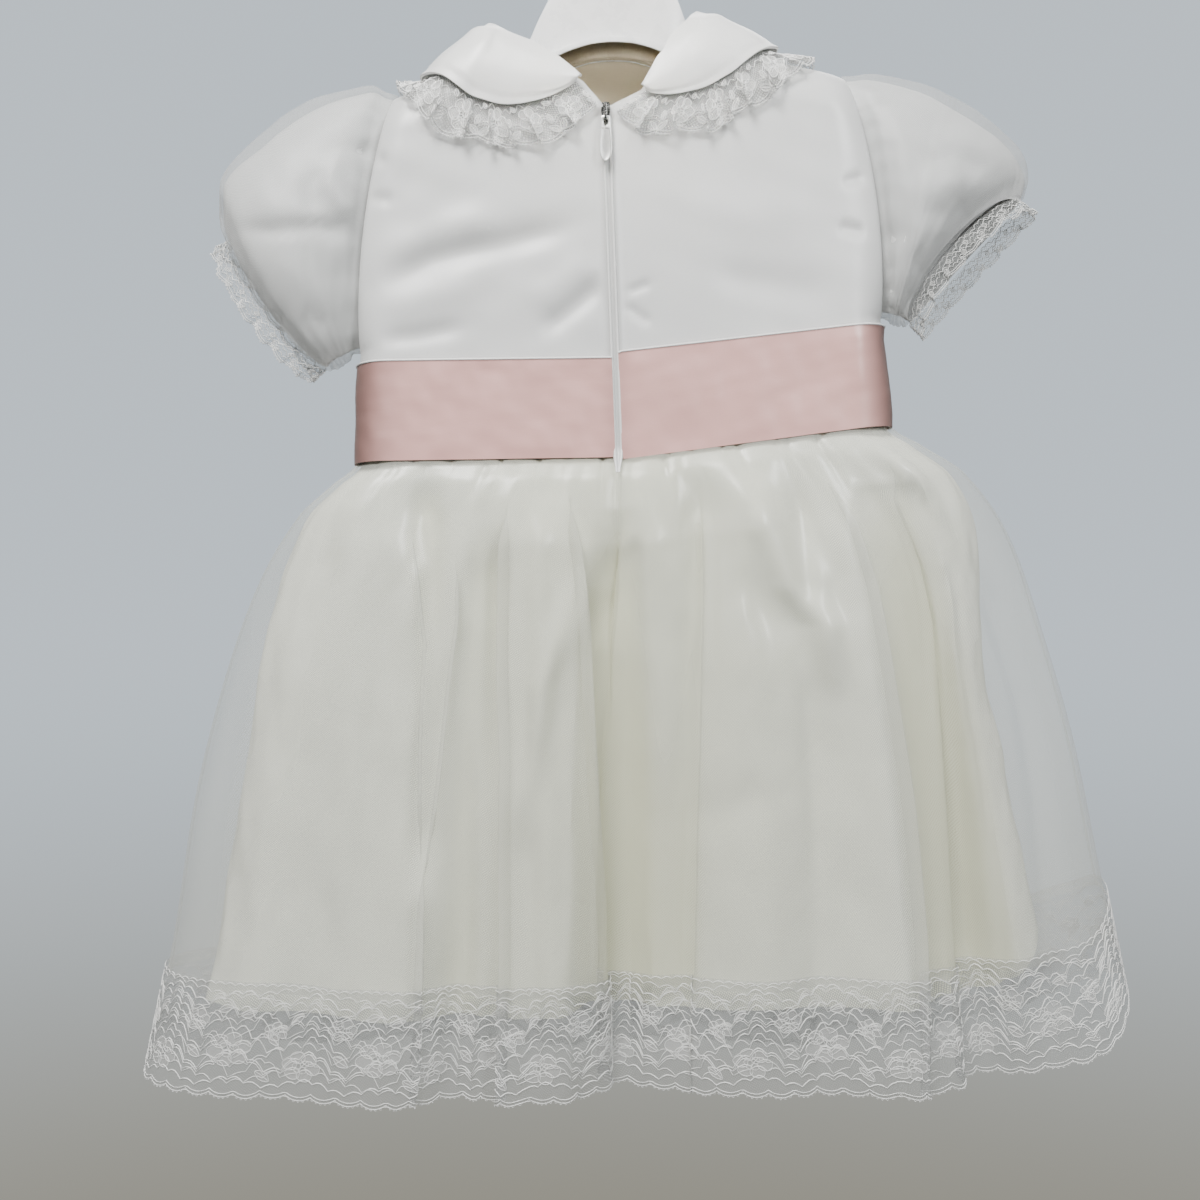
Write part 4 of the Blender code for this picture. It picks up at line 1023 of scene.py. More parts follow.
skirtPanels = (  # name, its start and end on the round, tulle and satin columns and rows, flat width
    ("back_left", 0.0, 0.25, (210, 154), (116, 100), 0.29),
    ("front", 0.25, 0.75, (240, 100), (150, 70), 0.56),
    ("back_right", 0.75, 1.0, (210, 154), (116, 100), 0.29),
)
satinWaves = (  # path in x and z, width, depth
    (((60, -386), (74, -412), (92, -430)), 9, -3.4),
    (((-118, -352), (-100, -400), (-110, -460)), 9, 2),
    (((88, -500), (60, -510), (30, -516)), 10, -2.2),
    (((-24, -470), (-18, -520), (-22, -590)), 6, 2.4),
)
seamOverlap = 0.0012
skirtTop, skirtEnd = -331.9, -651.6
laceTop = 1.0 - skirt["laceHeight"] / (skirtTop - skirtEnd)
tulleEnd = laceTop + skirt["laceOverlap"] / (skirtTop - skirtEnd)


def outwardOfSkirt(around, down):
    _, _, nx, ny = skirtRound(around, down)
    return np.stack([nx, ny, np.zeros_like(nx)], axis=-1)


def panelGrid(start, end, columns, rows, low):
    # places on the round and shares down, denser at the top
    around = np.linspace(start - seamOverlap, end + seamOverlap, columns)[:, None]
    return around, low * (shares(rows) ** 1.25)[None, :]


def satinInset(around, down):
    side = 1.0 - np.abs(np.abs(around % 1.0 - 0.5) - 0.25) / 0.25
    return mix(2.4, mix(6.0, 10.0, side), np.minimum(down / 0.5, 1.0) ** 0.8)


def lowestNear(heights, reach):
    # the lowest height within some columns on either side
    lowest = heights.copy()
    for step in range(1, reach + 1):
        lowest[step:] = np.minimum(lowest[step:], heights[:-step])
        lowest[:-step] = np.minimum(lowest[:-step], heights[step:])
    return lowest


def satinOut(around, down):
    # the satin hangs in its own gathers and broad waves, always inside the tulle
    around, down = np.broadcast_arrays(around, down)
    s, t = wrapped(around) * aroundMm, down * downMm
    waves = 2.6 * softNoise(23, s, t * 0.35, 90.0) + 1.2 * softNoise(31, s, t * 0.6, 40.0)
    for path, width, depth in satinWaves:
        atDown, atAround = placeOnRound(path)
        line = np.stack([wrapped(atAround) * aroundMm, atDown * downMm], axis=-1)
        waves = waves + creased(s, t, line, width, depth, 0.4)
    seed = skirt["satinSeed"]
    own = smooth(down / 0.12) * np.clip(waves, -4.5, 4.0)
    own = own + 0.8 * gathersAt(around, down, seed) * (1.0 - 0.9 * smooth((down - 0.05) / 0.10))
    own = own + 0.7 * softFoldsAt(around, down, seed) + 0.9 * bandsAt(around, down)
    own = own - satinInset(around, down)
    tulle, side = skirtDetail(around, down)
    folds = foldHeight(around, down)
    lapped = smooth(-lowestNear(-np.abs(side), 4) / 2.0)
    low = mix(lowestNear(tulle, 1), lowestNear(tulle + folds, 4) - folds, lapped)
    return np.minimum(own, low - 0.9)


def drawnIn(points, around, down):
    # the satin hangs narrower than the tulle at both sides
    left = around % 1.0 <= 0.5
    middle = middleAt(down)
    end = np.where(left, sizeAt("left", down), sizeAt("right", down))
    share = smooth((np.abs((points[..., 0] - middle) / (end - middle)) - 0.68) / 0.32)
    grown = smooth(down / 0.5) * share
    onLeft, onRight = skirt["drawnIn"]
    points[..., 0] -= np.where(left, -onLeft, onRight) * grown
    return points


def makeSkirt(satin, tulle):
    for panel, start, end, tulleGrid, satinGrid, wide in skirtPanels:
        around, down = panelGrid(start, end, *tulleGrid, tulleEnd)
        detail = skirtDetail(around, down)
        toSeam = np.minimum(np.abs(around - start), np.abs(around - end))
        tuck = -0.6 * np.exp(-(toSeam * 900.0 / 1.6) ** 2)
        points = onSkirt(around, down, tuck * (panel != "front"), detail)
        net = gridMesh(f"tulle_{panel}", points, outwardOfSkirt(around, down), [tulle])
        withPaintedShade(net, paintedShadeAt(around, down, detail[0]))
        dressed(net, [f"skirt_tulle_{panel}"])
        declared(net, (wide, 0.29))
        around, down = panelGrid(start, end, *satinGrid, skirt["satinHem"])
        out = satinOut(around, down)
        points = drawnIn(onSkirt(around, down, out), around, down)
        lining = gridMesh(f"satin_{panel}", points, outwardOfSkirt(around, down), [satin])
        withPaintedShade(lining, paintedShadeAt(around, down, out + satinInset(around, down)))
        thickened(lining, 0.7)
        dressed(lining, [f"skirt_satin_{panel}"])
        declared(lining, (wide * 0.88, 0.29), layers=2)
    print("skirt ready")


# lace drawn flat, in mm, and laid on the cloth

def bent(points, step, closed=False):
    # a smooth line through the points, cut into short steps
    points = np.array(points, float)
    count = len(points)
    line = []
    for k in range(count if closed else count - 1):
        ends = [k - 1, k, k + 1, k + 2]
        ends = [e % count if closed else min(max(e, 0), count - 1) for e in ends]
        a, b, c, d = points[ends]
        cuts = max(int(math.ceil(np.linalg.norm(c - b) / step)), 1)
        line += [curved(a, b, c, d, s) for s in np.arange(cuts) / cuts]
    if not closed:
        line.append(points[-1])
    return np.array(line)


def turned(shape, at, angle):
    x, y = np.array(shape, float).T
    c, s = math.cos(angle), math.sin(angle)
    return np.stack([at[0] + x * c - y * s, at[1] + x * s + y * c], axis=-1)


def ring(wide, high, count):
    return [(wide * math.cos(a), high * math.sin(a)) for a in np.arange(count) * tau / count]


def addLoop(drawing, shape, radius, step, filled=True):
    line = bent(shape, step, closed=True)
    drawing["cords"].append((np.concatenate([line, line[:1]]), radius, True))
    if filled:
        drawing["fills"].append(bent(shape, step * 1.8, closed=True))


def addPetal(drawing, at, angle, length, width, radius, step):
    side = [(0.06, 0.05), (0.34, 0.34), (0.68, 0.5), (0.93, 0.36)]
    shape = side + [(0.9, 0.0)] + [(x, -y) for x, y in side[::-1]]
    addLoop(drawing, turned([(x * length, y * width) for x, y in shape], at, angle), radius, step)


def addLeaf(drawing, at, angle, length, width, radius, step):
    shape = [(0.0, 0.0), (0.25, 0.36), (0.55, 0.5), (0.85, 0.24), (1.0, -0.04), (0.8, -0.3), (0.45, -0.42),
             (0.2, -0.26)]
    addLoop(drawing, turned([(x * length, y * width) for x, y in shape], at, angle), radius, step)
    rib = turned([(0.0, 0.0), (0.45 * length, 0.05 * width), (0.92 * length, 0.0)], at, angle)
    drawing["cords"].append((bent(rib, step * 1.3), radius * 0.8, False))


def scallop(s, width, depth, sharpness=0.8):
    # how far a scalloped edge draws in, 0 at the middle of each scallop
    return depth * (1.0 - np.abs(np.sin(math.pi * s / width)) ** sharpness)


laces = {  # the repeat's width, the height, the edge's scallops and the cord's radius, in mm
    "hem": {
        "unit": 76.0, "height": 57.0, "scallop": 76.0 / 6, "dip": 2.2, "cord": 0.21, "step": 1.7,
        "roses": (  # place, width, height, turn, share of the cord
            ((19, 33), 12, 8.6, 0.3, 0.9), ((57.5, 40), 10, 7.6, 0.9, 0.9), ((39, 20), 7.5, 5.6, 0.1, 0.8),
            ((73, 24), 6.5, 4.8, 0.5, 0.8),
        ),
        "leaves": (  # place, way, size
            ((4, 43), 2.5, 9), ((34, 38), -0.5, 9), ((71, 31), -0.9, 9), ((66, 20), -2.4, 8),
            ((28, 15), 3.5, 8), ((8, 14), 0.3, 8),
        ),
        "leafWide": 0.5, "leafCord": 0.9, "petals": (), "edges": (0, 1.6), "edgeCord": 1,
        "picots": (2.3, 0.5),  # their spacing and size
    },
    "collar": {
        "unit": 24.0, "height": 20.0, "scallop": 12.0, "dip": 1.8, "cord": 0.27, "step": 1.0,
        "roses": (((12, 10), 7.4, 6.2, 0.2, 1.2),),
        "leaves": (((3.6, 13.5), 2.3, 5), ((20.4, 13.5), 0.8, 5), ((0.6, 8.5), 1.3, 4.6),
                   ((19, 5), -0.4, 4.2)),
        "leafWide": 0.6, "leafCord": 1, "petals": (-0.8, -0.27, 0.27, 0.8), "petalFoot": (12, 15.2),
        "petalSize": (3.4, 1.9), "edges": (0, 1.2), "edgeCord": 1.1, "picots": (1.6, 0.5),
    },
    "cuff": {
        "unit": 14.0, "height": 11.0, "scallop": 14.0, "dip": 2.0, "cord": 0.22, "step": 0.9, "roses": (),
        "leaves": (((7, 4.6), -0.5, 3.4), ((2, 6.8), 2.2, 3), ((11.6, 6), 0.9, 3.2)),
        "leafWide": 0.6, "leafCord": 1, "petals": (), "edges": (0, 1.1), "edgeCord": 1,
        "picots": (1.6, 0.42),
    },
}


def edgeOf(look, s, width):
    return look["height"] - 0.5 - scallop(s, width, look["dip"])


def edgeCords(drawing, look, insets, radius):
    s = np.linspace(0.0, look["unit"], int(round(look["unit"] / look["step"])) + 1)
    for inset in insets:
        line = np.stack([s, edgeOf(look, s, look["scallop"]) - inset], axis=-1)
        drawing["cords"].append((line, radius, False))


def addPicots(drawing, look, gap, size):
    count = int(round(look["unit"] / gap))
    for k in range(count):
        s = (k + 0.5) * look["unit"] / count
        t = edgeOf(look, s, look["scallop"]) + size * 0.7
        line = turned(ring(size, size, 5), (s, t), 0.0)
        drawing["cords"].append((np.concatenate([line, line[:1]]), look["cord"] * 0.75, True))


def addWave(drawing, unit, base, sway, turn, arches, rise, radius, double=0.0, swings=1):
    # a cord that sways over the repeat in small arches, with another beside it if double
    s = np.linspace(0.0, unit, arches * 4 + 1)
    arch = np.abs(np.sin(math.pi * s * arches / unit))
    t = base + sway * np.sin(tau * s * swings / unit + turn) - rise * arch
    drawing["cords"].append((np.stack([s, t], axis=-1), radius, False))
    if double:
        drawing["cords"].append((np.stack([s, t + double], axis=-1), radius * 0.8, False))


def addRose(drawing, at, wide, high, turn, radius, step):
    # round petals that overlap, in two rings about a small eye
    for count, reach, size, wall, shift in ((6, 0.60, 0.38, 1.0, 0.0), (3, 0.24, 0.22, 0.8, 0.5)):
        for k in range(count):
            angle = turn + tau * (k + shift) / count
            middle = (at[0] + wide * reach * math.cos(angle), at[1] + high * reach * math.sin(angle))
            petal = [(size * wide * (1.0 + 0.12 * math.cos(3 * a)) * math.cos(a), size * high * math.sin(a))
                     for a in np.arange(8) * tau / 8 + angle]
            addLoop(drawing, turned(petal, middle, 0.0), radius * wall, step, shift == 0.0)
    drawing["fills"].append(turned(ring(0.10 * wide, 0.10 * high, 5), at, 0.0))


def wavesOf(kind, r):
    # each wave's base, sway, turn, arches, rise and cord, and its second cord and swings
    if kind == "cuff":
        return [(base, 0.9, turn, arches, 1.2, r)
                for base, turn, arches in ((2.0, 0.4, 4), (3.8, 2.0, 3), (5.6, 3.9, 4), (7.4, 5.2, 5))]
    if kind == "collar":
        return [(5.4, 1.0, 0.8, 4, 2.0, r), (12.6, 1.6, 3.6, 3, 2.6, r, 1.2)]
    waves = [(1.9, 0.0, 0.0, 14, 1.1, r)]
    for k in range(14):
        middle = 1.0 - (abs(k - 6.5) / 7.5) ** 2
        cord, double = r * (1.35 if k % 3 == 1 else 0.9), 1.3 * (k % 4 == 2)
        waves.append((5.6 + 3.4 * k, 0.8 + 5.2 * middle, 2.1 * k, 9 + (5 * k) % 5, 1.6 + 1.4 * middle,
                      cord, double, 1 + k % 3))
    return waves


def drawLace(kind):
    look, drawing = laces[kind], {"cords": [], "fills": []}
    r, step = look["cord"], look["step"]
    for wave in wavesOf(kind, r):
        addWave(drawing, look["unit"], *wave)
    for at, wide, high, turn, share in look["roses"]:
        addRose(drawing, at, wide, high, turn, r * share, step)
    for at, angle, size in look["leaves"]:
        addLeaf(drawing, at, angle, size, size * look["leafWide"], r * look["leafCord"], step)
    for turn in look["petals"]:
        angle = math.pi / 2 - turn
        addPetal(drawing, look["petalFoot"], angle, *look["petalSize"], r * 0.8, step * 0.9)
    edgeCords(drawing, look, look["edges"], r * look["edgeCord"])
    addPicots(drawing, look, *look["picots"])
    return drawing


def laceBed(points, outward, look, closed):
    # the cloth that a lace is drawn on: where each (s, t) lies
    normals = facing(points, closed, outward)
    if closed:
        points, normals = (np.concatenate([grid, grid[:1]]) for grid in (points, normals))
    run = arcLengths(points, 0).mean(axis=1)
    units = max(int(round(run[-1] / look["unit"])), 1)
    return {"points": points, "normals": normals, "s": run * units * look["unit"] / run[-1], "units": units,
            "height": look["height"], "closed": closed, "run": run[-1]}


def layOn(bed, s, t, lift=0.0):
    total = bed["s"][-1]
    s = s % total if bed["closed"] else np.clip(s, 0.0, total)
    columns, rows = bed["points"].shape[:2]
    i = np.interp(s, bed["s"], np.arange(columns))
    j = np.clip(t / bed["height"], 0.0, 1.03) * (rows - 1)
    i0, j0 = np.clip(i.astype(int), 0, columns - 2), np.clip(j.astype(int), 0, rows - 2)
    fi, fj = (i - i0)[..., None], (j - j0)[..., None]

    def read(grid):
        low, high = (mix(grid[i0, row], grid[i0 + 1, row], fi) for row in (j0, j0 + 1))
        return mix(low, high, fj)

    normal = unit(read(bed["normals"]))
    return read(bed["points"]) + normal * lift, normal


def tubes(lines, normals, radius, closed):
    # triangular cords along many lines of the same length: lines is repeats x points x 3
    if closed:
        along = np.roll(lines[:, :-1], -1, axis=1) - np.roll(lines[:, :-1], 1, axis=1)
        lines, normals = lines[:, :-1], normals[:, :-1]
    else:
        along = np.gradient(lines, axis=1)
    side = unit(np.cross(along, normals))
    corners = [lines + normals * radius * math.sin(angle) * 0.95 + side * radius * math.cos(angle) * 1.1
               for angle in (math.pi / 2, math.pi * 7 / 6, math.pi * 11 / 6)]
    points = np.stack(corners, axis=2)  # repeats x points x 3 corners x 3
    repeats, count = points.shape[:2]
    index = np.arange(repeats * count * 3).reshape(repeats, count, 3)
    spans = np.arange(count if closed else count - 1)
    here, there = index[:, spans], index[:, (spans + 1) % count]
    faces = [np.stack([here[..., k], here[..., n], there[..., n], there[..., k]], axis=-1).reshape(-1, 4)
             for k, n in ((0, 1), (1, 2), (2, 0))]
    return points.reshape(-1, 3), np.concatenate(faces)


def drawOn(name, bed, drawing, thread, fill, lift):
    # every cord and filled shape of the drawing, repeated along the lace
    points, uvs, quads, tris = [], [], [], []
    shifts = np.arange(bed["units"])[:, None] * (bed["s"][-1] / bed["units"])
    base = 0
    for line, radius, closed in drawing["cords"]:
        s, t = np.broadcast_arrays(line[:, 0] + shifts, line[:, 1])
        corners, faces = tubes(*layOn(bed, s, t, lift), radius, closed)
        points.append(corners)
        uvs.append(np.zeros((len(corners), 2)))
        quads.append(faces + base)
        base += len(corners)
    for shape in drawing["fills"]:
        fan = np.concatenate([shape, shape.mean(axis=0)[None, :]])
        s, t = np.broadcast_arrays(fan[:, 0] + shifts, fan[:, 1])
        points.append(layOn(bed, s, t, lift * 0.7)[0].reshape(-1, 3))
        uvs.append(np.stack([s, t], axis=-1).reshape(-1, 2))
        index = base + np.arange(s.size).reshape(s.shape)
        here, middle = index[:, :-1], np.repeat(index[:, -1:], len(shape), axis=1)
        tris.append(np.stack([here, np.roll(here, -1, axis=1), middle], axis=-1).reshape(-1, 3))
        base += s.size
    uv = np.concatenate(uvs) * mm
    quads, tris = np.concatenate(quads).tolist(), np.concatenate(tris).tolist()
    cloths = [thread, fill]
    piece = newPiece(name, np.concatenate(points), quads + tris, cloths, lambda corners: uv[corners])
    piece.data.polygons.foreach_set("material_index", [0] * len(quads) + [1] * len(tris))
    return piece


def cordPiece(name, lines, normals, radius, material):
    points, faces = tubes(lines, normals, radius, False)
    return newPiece(name, points, faces.tolist(), [material])


def netOn(name, bed, look, columns, rows, material):
    # the ground of the lace, cut to its scalloped edge
    total = bed["s"][-1]
    s = np.linspace(0.0, total, columns, endpoint=not bed["closed"])[:, None]
    edge = edgeOf(look, s, look["scallop"] * total / (bed["units"] * look["unit"]))
    t = shares(rows)[None, :] * edge
    s = np.broadcast_to(s, t.shape)
    points, outward = layOn(bed, s, t)
    return gridMesh(name, points, outward, [material], bed["closed"], np.stack([s, t], axis=-1))


def laidLace(kind, names, bed, size, cloths, lift, flat):
    # the net and, as its own piece, the pattern of threads on it; the net is also the sheet
    net, thread, fill = cloths
    netName, patternName, nodeName = names
    ground = netOn(netName, bed, laces[kind], *size, net)
    pattern = drawOn(patternName, bed, drawLace(kind), thread, fill, lift)
    dressed(ground, [nodeName])
    dressed(pattern, [])
    declared(ground, flat)


def makeHemLace(cloths):
    around, down = shares(900, True)[:, None], np.linspace(laceTop, 1.0, 34)[None, :]
    flat = onSkirt(around, down, 0.0, skirtDetail(around, down))
    outward = outwardOfSkirt(around, down)
    bed = laceBed(flat + facing(flat, True, outward) * skirt["laceOut"], outward, laces["hem"], True)
    names = "hem_lace_net", "hem_lace_pattern", "hem_lace"
    wide = round(bed["run"] * mm * 1.02, 3)
    laidLace("hem", names, bed, (860, 20), cloths, 0.35, (wide, 0.057))
    print("hem lace ready,", bed["units"], "repeats")


# bodice and sash

def creaseField(spots, creases, seed, noise=0.5):
    x, z = spots[..., 0], spots[..., 2]
    total = noise * softNoise(seed, x, z, 60.0)
    for path, width, depth in creases:
        total = total + creased(x, z, path, width, depth)
    return total


bodicePanels = (  # name, columns, rows, way out along y, seed, flat width
    ("back_left", 100, 104, -1.0, 3, 0.15),
    ("back_right", 100, 104, -1.0, 4, 0.15),
    ("front", 120, 64, 1.0, 6, 0.30),
)


def keptOutside(spots, way, least):
    # front cloth stays before the middle plane, back cloth behind it
    spots[..., 1] = way * np.maximum(way * spots[..., 1], least)


def bodicePanel(name, columns, rows, outward, seed, materials):
    across, up = gridShares(columns, rows)
    spots = panelAt(name)(across, up)
    normals = facing(spots, False, outward)
    creases, toSide = bodice["creases"], 1.0 - across
    if name == "front":  # the same creases, turned over
        creases = [([(-x * 0.9, z) for x, z in path], width, depth) for path, width, depth in creases]
        toSide = np.minimum(across, toSide)
    height = creaseField(spots, creases, seed)
    inside = smooth(np.minimum(np.minimum(up / 0.08, (1.0 - up) / 0.16), 1.0)) * smooth(toSide / 0.05)
    gap = 0.0
    if name != "front":  # a lip along the zip, with a groove and painted shade beside it
        middle = np.abs(spots[..., 0] - centreBack(spots[..., 2]))
        lip = np.exp(-((middle - 3.0) / 1.3) ** 2) * 0.55 - np.exp(-((middle - 5.6) / 0.8) ** 2) * 0.3
        inside = inside * smooth((middle - 2.0) / 6.0)
        spots = spots + normals * (lip * smooth((1.0 - up) / 0.1))[..., None]
        gap = 0.7 * np.exp(-((middle - 3.1) / 0.9) ** 2)
    spots = spots + normals * (height * inside)[..., None]
    keptOutside(spots, outward[1], 0.15)
    cloth = gridMesh(f"bodice_{name}_cloth", spots, outward, materials)
    # painted shade in the creases' hollows and beside the zip's lip
    withPaintedShade(cloth, 0.35 * smooth(-height * inside / 3.0) + gap)
    thickened(cloth, bodice["wall"], 1)
    return dressed(cloth, [f"bodice_{name}"])


def sashPanel(name, outward, seed, ribbon, piping):
    across, up = gridShares(96, 26)
    band = onSash(panelAt(name), across, up)
    bandOut = facing(band, False, outward)
    band = band + bandOut * sash["out"]
    run = arcLengths(band, 0).mean(axis=1)[:, None]
    ripple = 0.10 * softNoise(seed + 20, run * 0.2, up * 50.0, 7.0)
    ripple = ripple + 0.7 * softNoise(seed + 40, run, up * 34.0, 38.0)
    band = band + bandOut * (ripple * smooth(np.minimum(up, 1.0 - up) / 0.12))[..., None]
    keptOutside(band, outward[1], 0.04)
    tie = gridMesh(f"sash_{name}_ribbon", band, outward, [ribbon])
    toSide = 2.0 * np.minimum(across, 1.0 - across) if name == "front" else 1.0 - across
    wide = np.abs(band[0, 0, 0] - band[-1, 0, 0])
    # painted shade at the ends, where the ribbon turns away from the light, and beside the zip; the cloud
    # adds random tone
    shade = np.exp(-(toSide * wide / sash["turn"][name]) ** 2)
    if name != "front":
        shade = shade + 0.22 * np.exp(-(across * wide / 5.0) ** 2)
    cloud = softNoise(seed + 60, run * 0.5, up * 50.0, 26.0)
    withPaintedShade(tie, shade + 0.02 + 0.035 * cloud)
    thickened(tie, sash["wall"])
    dressed(tie, [f"sash_{name}"])
    declared(tie, (round(float(run.max()) * mm, 3), 0.05), layers=2)
    edge = band[:, -1] + np.array([0.0, 0.0, 0.35])
    cord = cordPiece(f"sash_{name}_piping", edge[None], bandOut[:, -1][None], 0.75, piping)
    dressed(cord, [])


def makeBodice(satin, lining, ribbon, piping):
    for name, columns, rows, way, seed, wide in bodicePanels:
        outward = np.array((0.0, way, 0.0))
        cloth = bodicePanel(name, columns, rows, outward, seed, [satin, lining])
        declared(cloth, (wide, 0.205), wide * 0.205 * 0.86, layers=2)
        sashPanel(name, outward, seed, ribbon, piping)
    print("bodice and sash ready")


# sleeves and cuffs

def sleeveGathers(side, around, along):
    look = sleeveLooks
    random = np.random.default_rng(look["seed"] + (side == "right"))
    total = np.zeros(np.broadcast(around, along).shape)
    for count, atEnd in ((look["headGathers"], along), (look["cuffGathers"], 1.0 - along)):
        for k in range(count):
            middle = (k + random.uniform(-0.35, 0.35)) / count
            width, depth = random.uniform(0.008, 0.016), random.uniform(0.5, 1.0) * look["gatherDepth"]
            reach, drift = random.uniform(0.12, 0.42), random.uniform(-0.03, 0.03)
            away = np.abs(wrapped(around - middle - drift * atEnd))
            fade = np.exp(-(atEnd / reach) ** 1.6)
            total = total - depth * np.exp(-away / (width * (1.0 + 2.5 * atEnd))) * fade
    return total


def makeSleeve(side, name, columns, rows, strength, material, flat):
    # strength is how much of the gathers and creases shows
    inner = name.startswith("sleeve_satin")
    around, along = shares(columns, True)[:, None], shares(rows)[None, :]
    spots = onSleeve(side, around, along, 3.0 + 2.6 * np.sin(math.pi * along) if inner else 0.0)
    outward = spots - spots.mean(axis=0, keepdims=True)
    normals = facing(spots, True, outward)
    height = strength * sleeveGathers(side, around, along)
    height = height + strength * 0.9 * softNoise(9 + len(name), around * 150.0, along * 110.0, 42.0)
    back = np.clip(-spots[..., 1] / 8.0, 0.0, 1.0)
    for path, width, depth in sleeveLooks["creases"][side]:
        height = height + strength * back * creased(spots[..., 0], spots[..., 2], path, width, depth)
    calm = smooth(np.minimum(along / 0.06, (1.0 - along) / 0.04)) * 0.75 + 0.25
    spots = spots + normals * (height * calm)[..., None]
    tucked = np.clip(1.0 - along / 0.05, 0.0, 1.0)
    spots[..., 0] += tucked * (sleeveLooks["tuck"] if side == "left" else -sleeveLooks["tuck"])
    spots[..., 1] *= 1.0 - 0.16 * tucked
    cloth = gridMesh(name + "_cloth", spots, outward, [material], True)
    if inner:
        thickened(cloth, 0.7)
    dressed(cloth, [name])
    declared(cloth, flat, flat[0] * flat[1] * 0.86,
             layers=2 if inner else 1)


def makeSleeves(satin, organza, cloths):
    for side in ("left", "right"):
        makeSleeve(side, f"sleeve_organza_{side}", 150, 74, 1.0, organza, (0.27, 0.105))
        makeSleeve(side, f"sleeve_satin_{side}", 96, 44, 0.5, satin, (0.24, 0.098))
        makeCuff(side, cloths)
    print("sleeves ready")


def makeCuff(side, cloths):
    around, out = shares(240, True)[:, None], shares(9)[None, :]
    edge = onSleeve(side, around, np.ones_like(around), 1.4)
    last = {name: column[-1] for name, column in sleeves[side].items()}
    fallX, fallZ = last["lowX"] - last["topX"], last["lowZ"] - last["topZ"]
    size = math.hypot(fallX, fallZ)
    way = np.array((fallZ / size, 0.0, -fallX / size)) * (1.0 if side == "left" else -1.0)
    away = unit(edge - edge.mean(axis=0, keepdims=True))
    turns = tau * around
    wave = np.sin(turns * 15 + 1.3 * np.sin(turns * 3)) * 1.5 + 0.8 * np.sin(turns * 37)
    spots = edge + way * (1.3 + sleeveLooks["laceWidth"] * out[..., None])
    spots = spots + away * (wave * out ** 1.2 - 0.6)[..., None]
    bed = laceBed(spots, np.broadcast_to(away, spots.shape), laces["cuff"], True)
    names = f"cuff_net_{side}", f"cuff_pattern_{side}", f"cuff_lace_{side}"
    wide = round(bed["run"] * mm * 1.05, 3)
    laidLace("cuff", names, bed, (240, 9), cloths, 0.25, (wide, 0.0105))


# collar

ruffle = {"wave": 15.0, "uneven": 1.3, "out": 3.0, "along": 4.4}


def collarHalf(side, along, across, satin):
    points = refined(onCollar(side, along, across), 150, 26)
    away = refined(collarBed(side, along, across, "neck", "edge")[1], 150, 26)
    s, t = gridShares(150, 26)
    seam = -0.45 * np.exp(-((t - 0.90) / 0.03) ** 2)
    height = seam + 0.3 * softNoise(61, s * 260.0, t * 34.0, 50.0)
    points = points + facing(points, False, away) * height[..., None]
    cloth = gridMesh(f"collar_{side}_cloth", points, away, [satin])
    thickened(cloth, 1.3)
    dressed(cloth, [f"collar_{side}"])
    run, reach = arcLengths(points, 0).mean(axis=1)[-1], arcLengths(points, 1).mean(axis=0)[-1]
    flat = (round(run * mm, 3), round(reach * mm * 1.05, 3))
    declared(cloth, flat, layers=2)


def collarLace(side, along, across, cloths):
    points, away = (refined(grid, 340, 22) for grid in onCollarLace(side, along, across))
    normals = facing(points, False, away)
    run = arcLengths(points, 0)[:, -1][:, None]
    calm = 1.0 - 0.75 * np.maximum(1.0 - np.abs(shares(340)[:, None] - 0.5) / 0.06, 0.0)
    ends = smooth(np.minimum(run, run[-1] - run) / 9.0) * 0.8 + 0.2
    phase = tau * run / ruffle["wave"] + ruffle["uneven"] * np.sin(tau * run / 67.0 + (side == "left"))
    grown = shares(22)[None, :] ** 1.15 * calm * ends
    out = ruffle["out"] * (1.05 + np.sin(phase)) + 0.7 * np.sin(2.7 * phase + 1.0)
    tangent, fall = unit(np.gradient(points, axis=0)), unit(np.gradient(points, axis=1))
    points = points + normals * (np.maximum(out, 0.15) * grown)[..., None]
    points = points + tangent * (ruffle["along"] * np.cos(phase) * grown)[..., None]
    points = points + fall * (1.1 * np.sin(0.5 * phase + 2.0) * grown)[..., None]
    bed = laceBed(points, away, laces["collar"], False)
    names = f"collar_net_{side}", f"collar_pattern_{side}", f"collar_lace_{side}"
    wide = round(bed["run"] * mm * 1.15, 3)
    laidLace("collar", names, bed, (340, 14), cloths, 0.3, (wide, 0.021))


def makeCollar(satin, cloths):
    for side in ("left", "right"):
        along, across = np.meshgrid(collarStations, shares(7), indexing="ij")
        collarHalf(side, along, across, satin)
        collarLace(side, along, across, cloths)
    print("collar ready")


# hard pieces, modelled one by one

def inMetres(place):
    return tuple(float(c) * mm for c in place)


def selectAll():
    bpy.ops.mesh.select_all(action="SELECT")


def begin(adder, name, **settings):
    # a new primitive alone in edit mode, its place already in its mesh
    bpy.ops.object.select_all(action="DESELECT")
    adder(**settings)
    piece = bpy.context.object
    piece.name = piece.data.name = name
    bpy.ops.object.transform_apply(location=True, rotation=True, scale=True)
    bpy.ops.object.mode_set(mode="EDIT")
    return piece


def pick(piece, kind, test):
    # select each vertex or face whose middle, in mm, and normal pass the test
    bpy.ops.mesh.select_mode(type=kind)
    bpy.ops.mesh.select_all(action="DESELECT")
    data = bmesh.from_edit_mesh(piece.data)
    for part in (data.verts if kind == "VERT" else data.faces):
        at = part.co if kind == "VERT" else part.calc_center_median()
        part.select_set(bool(test(at / mm, part.normal)))
    data.select_flush_mode()
    bmesh.update_edit_mesh(piece.data)


def push(x=0.0, y=0.0, z=0.0, **settings):
    bpy.ops.transform.translate(value=(x * mm, y * mm, z * mm), **settings)


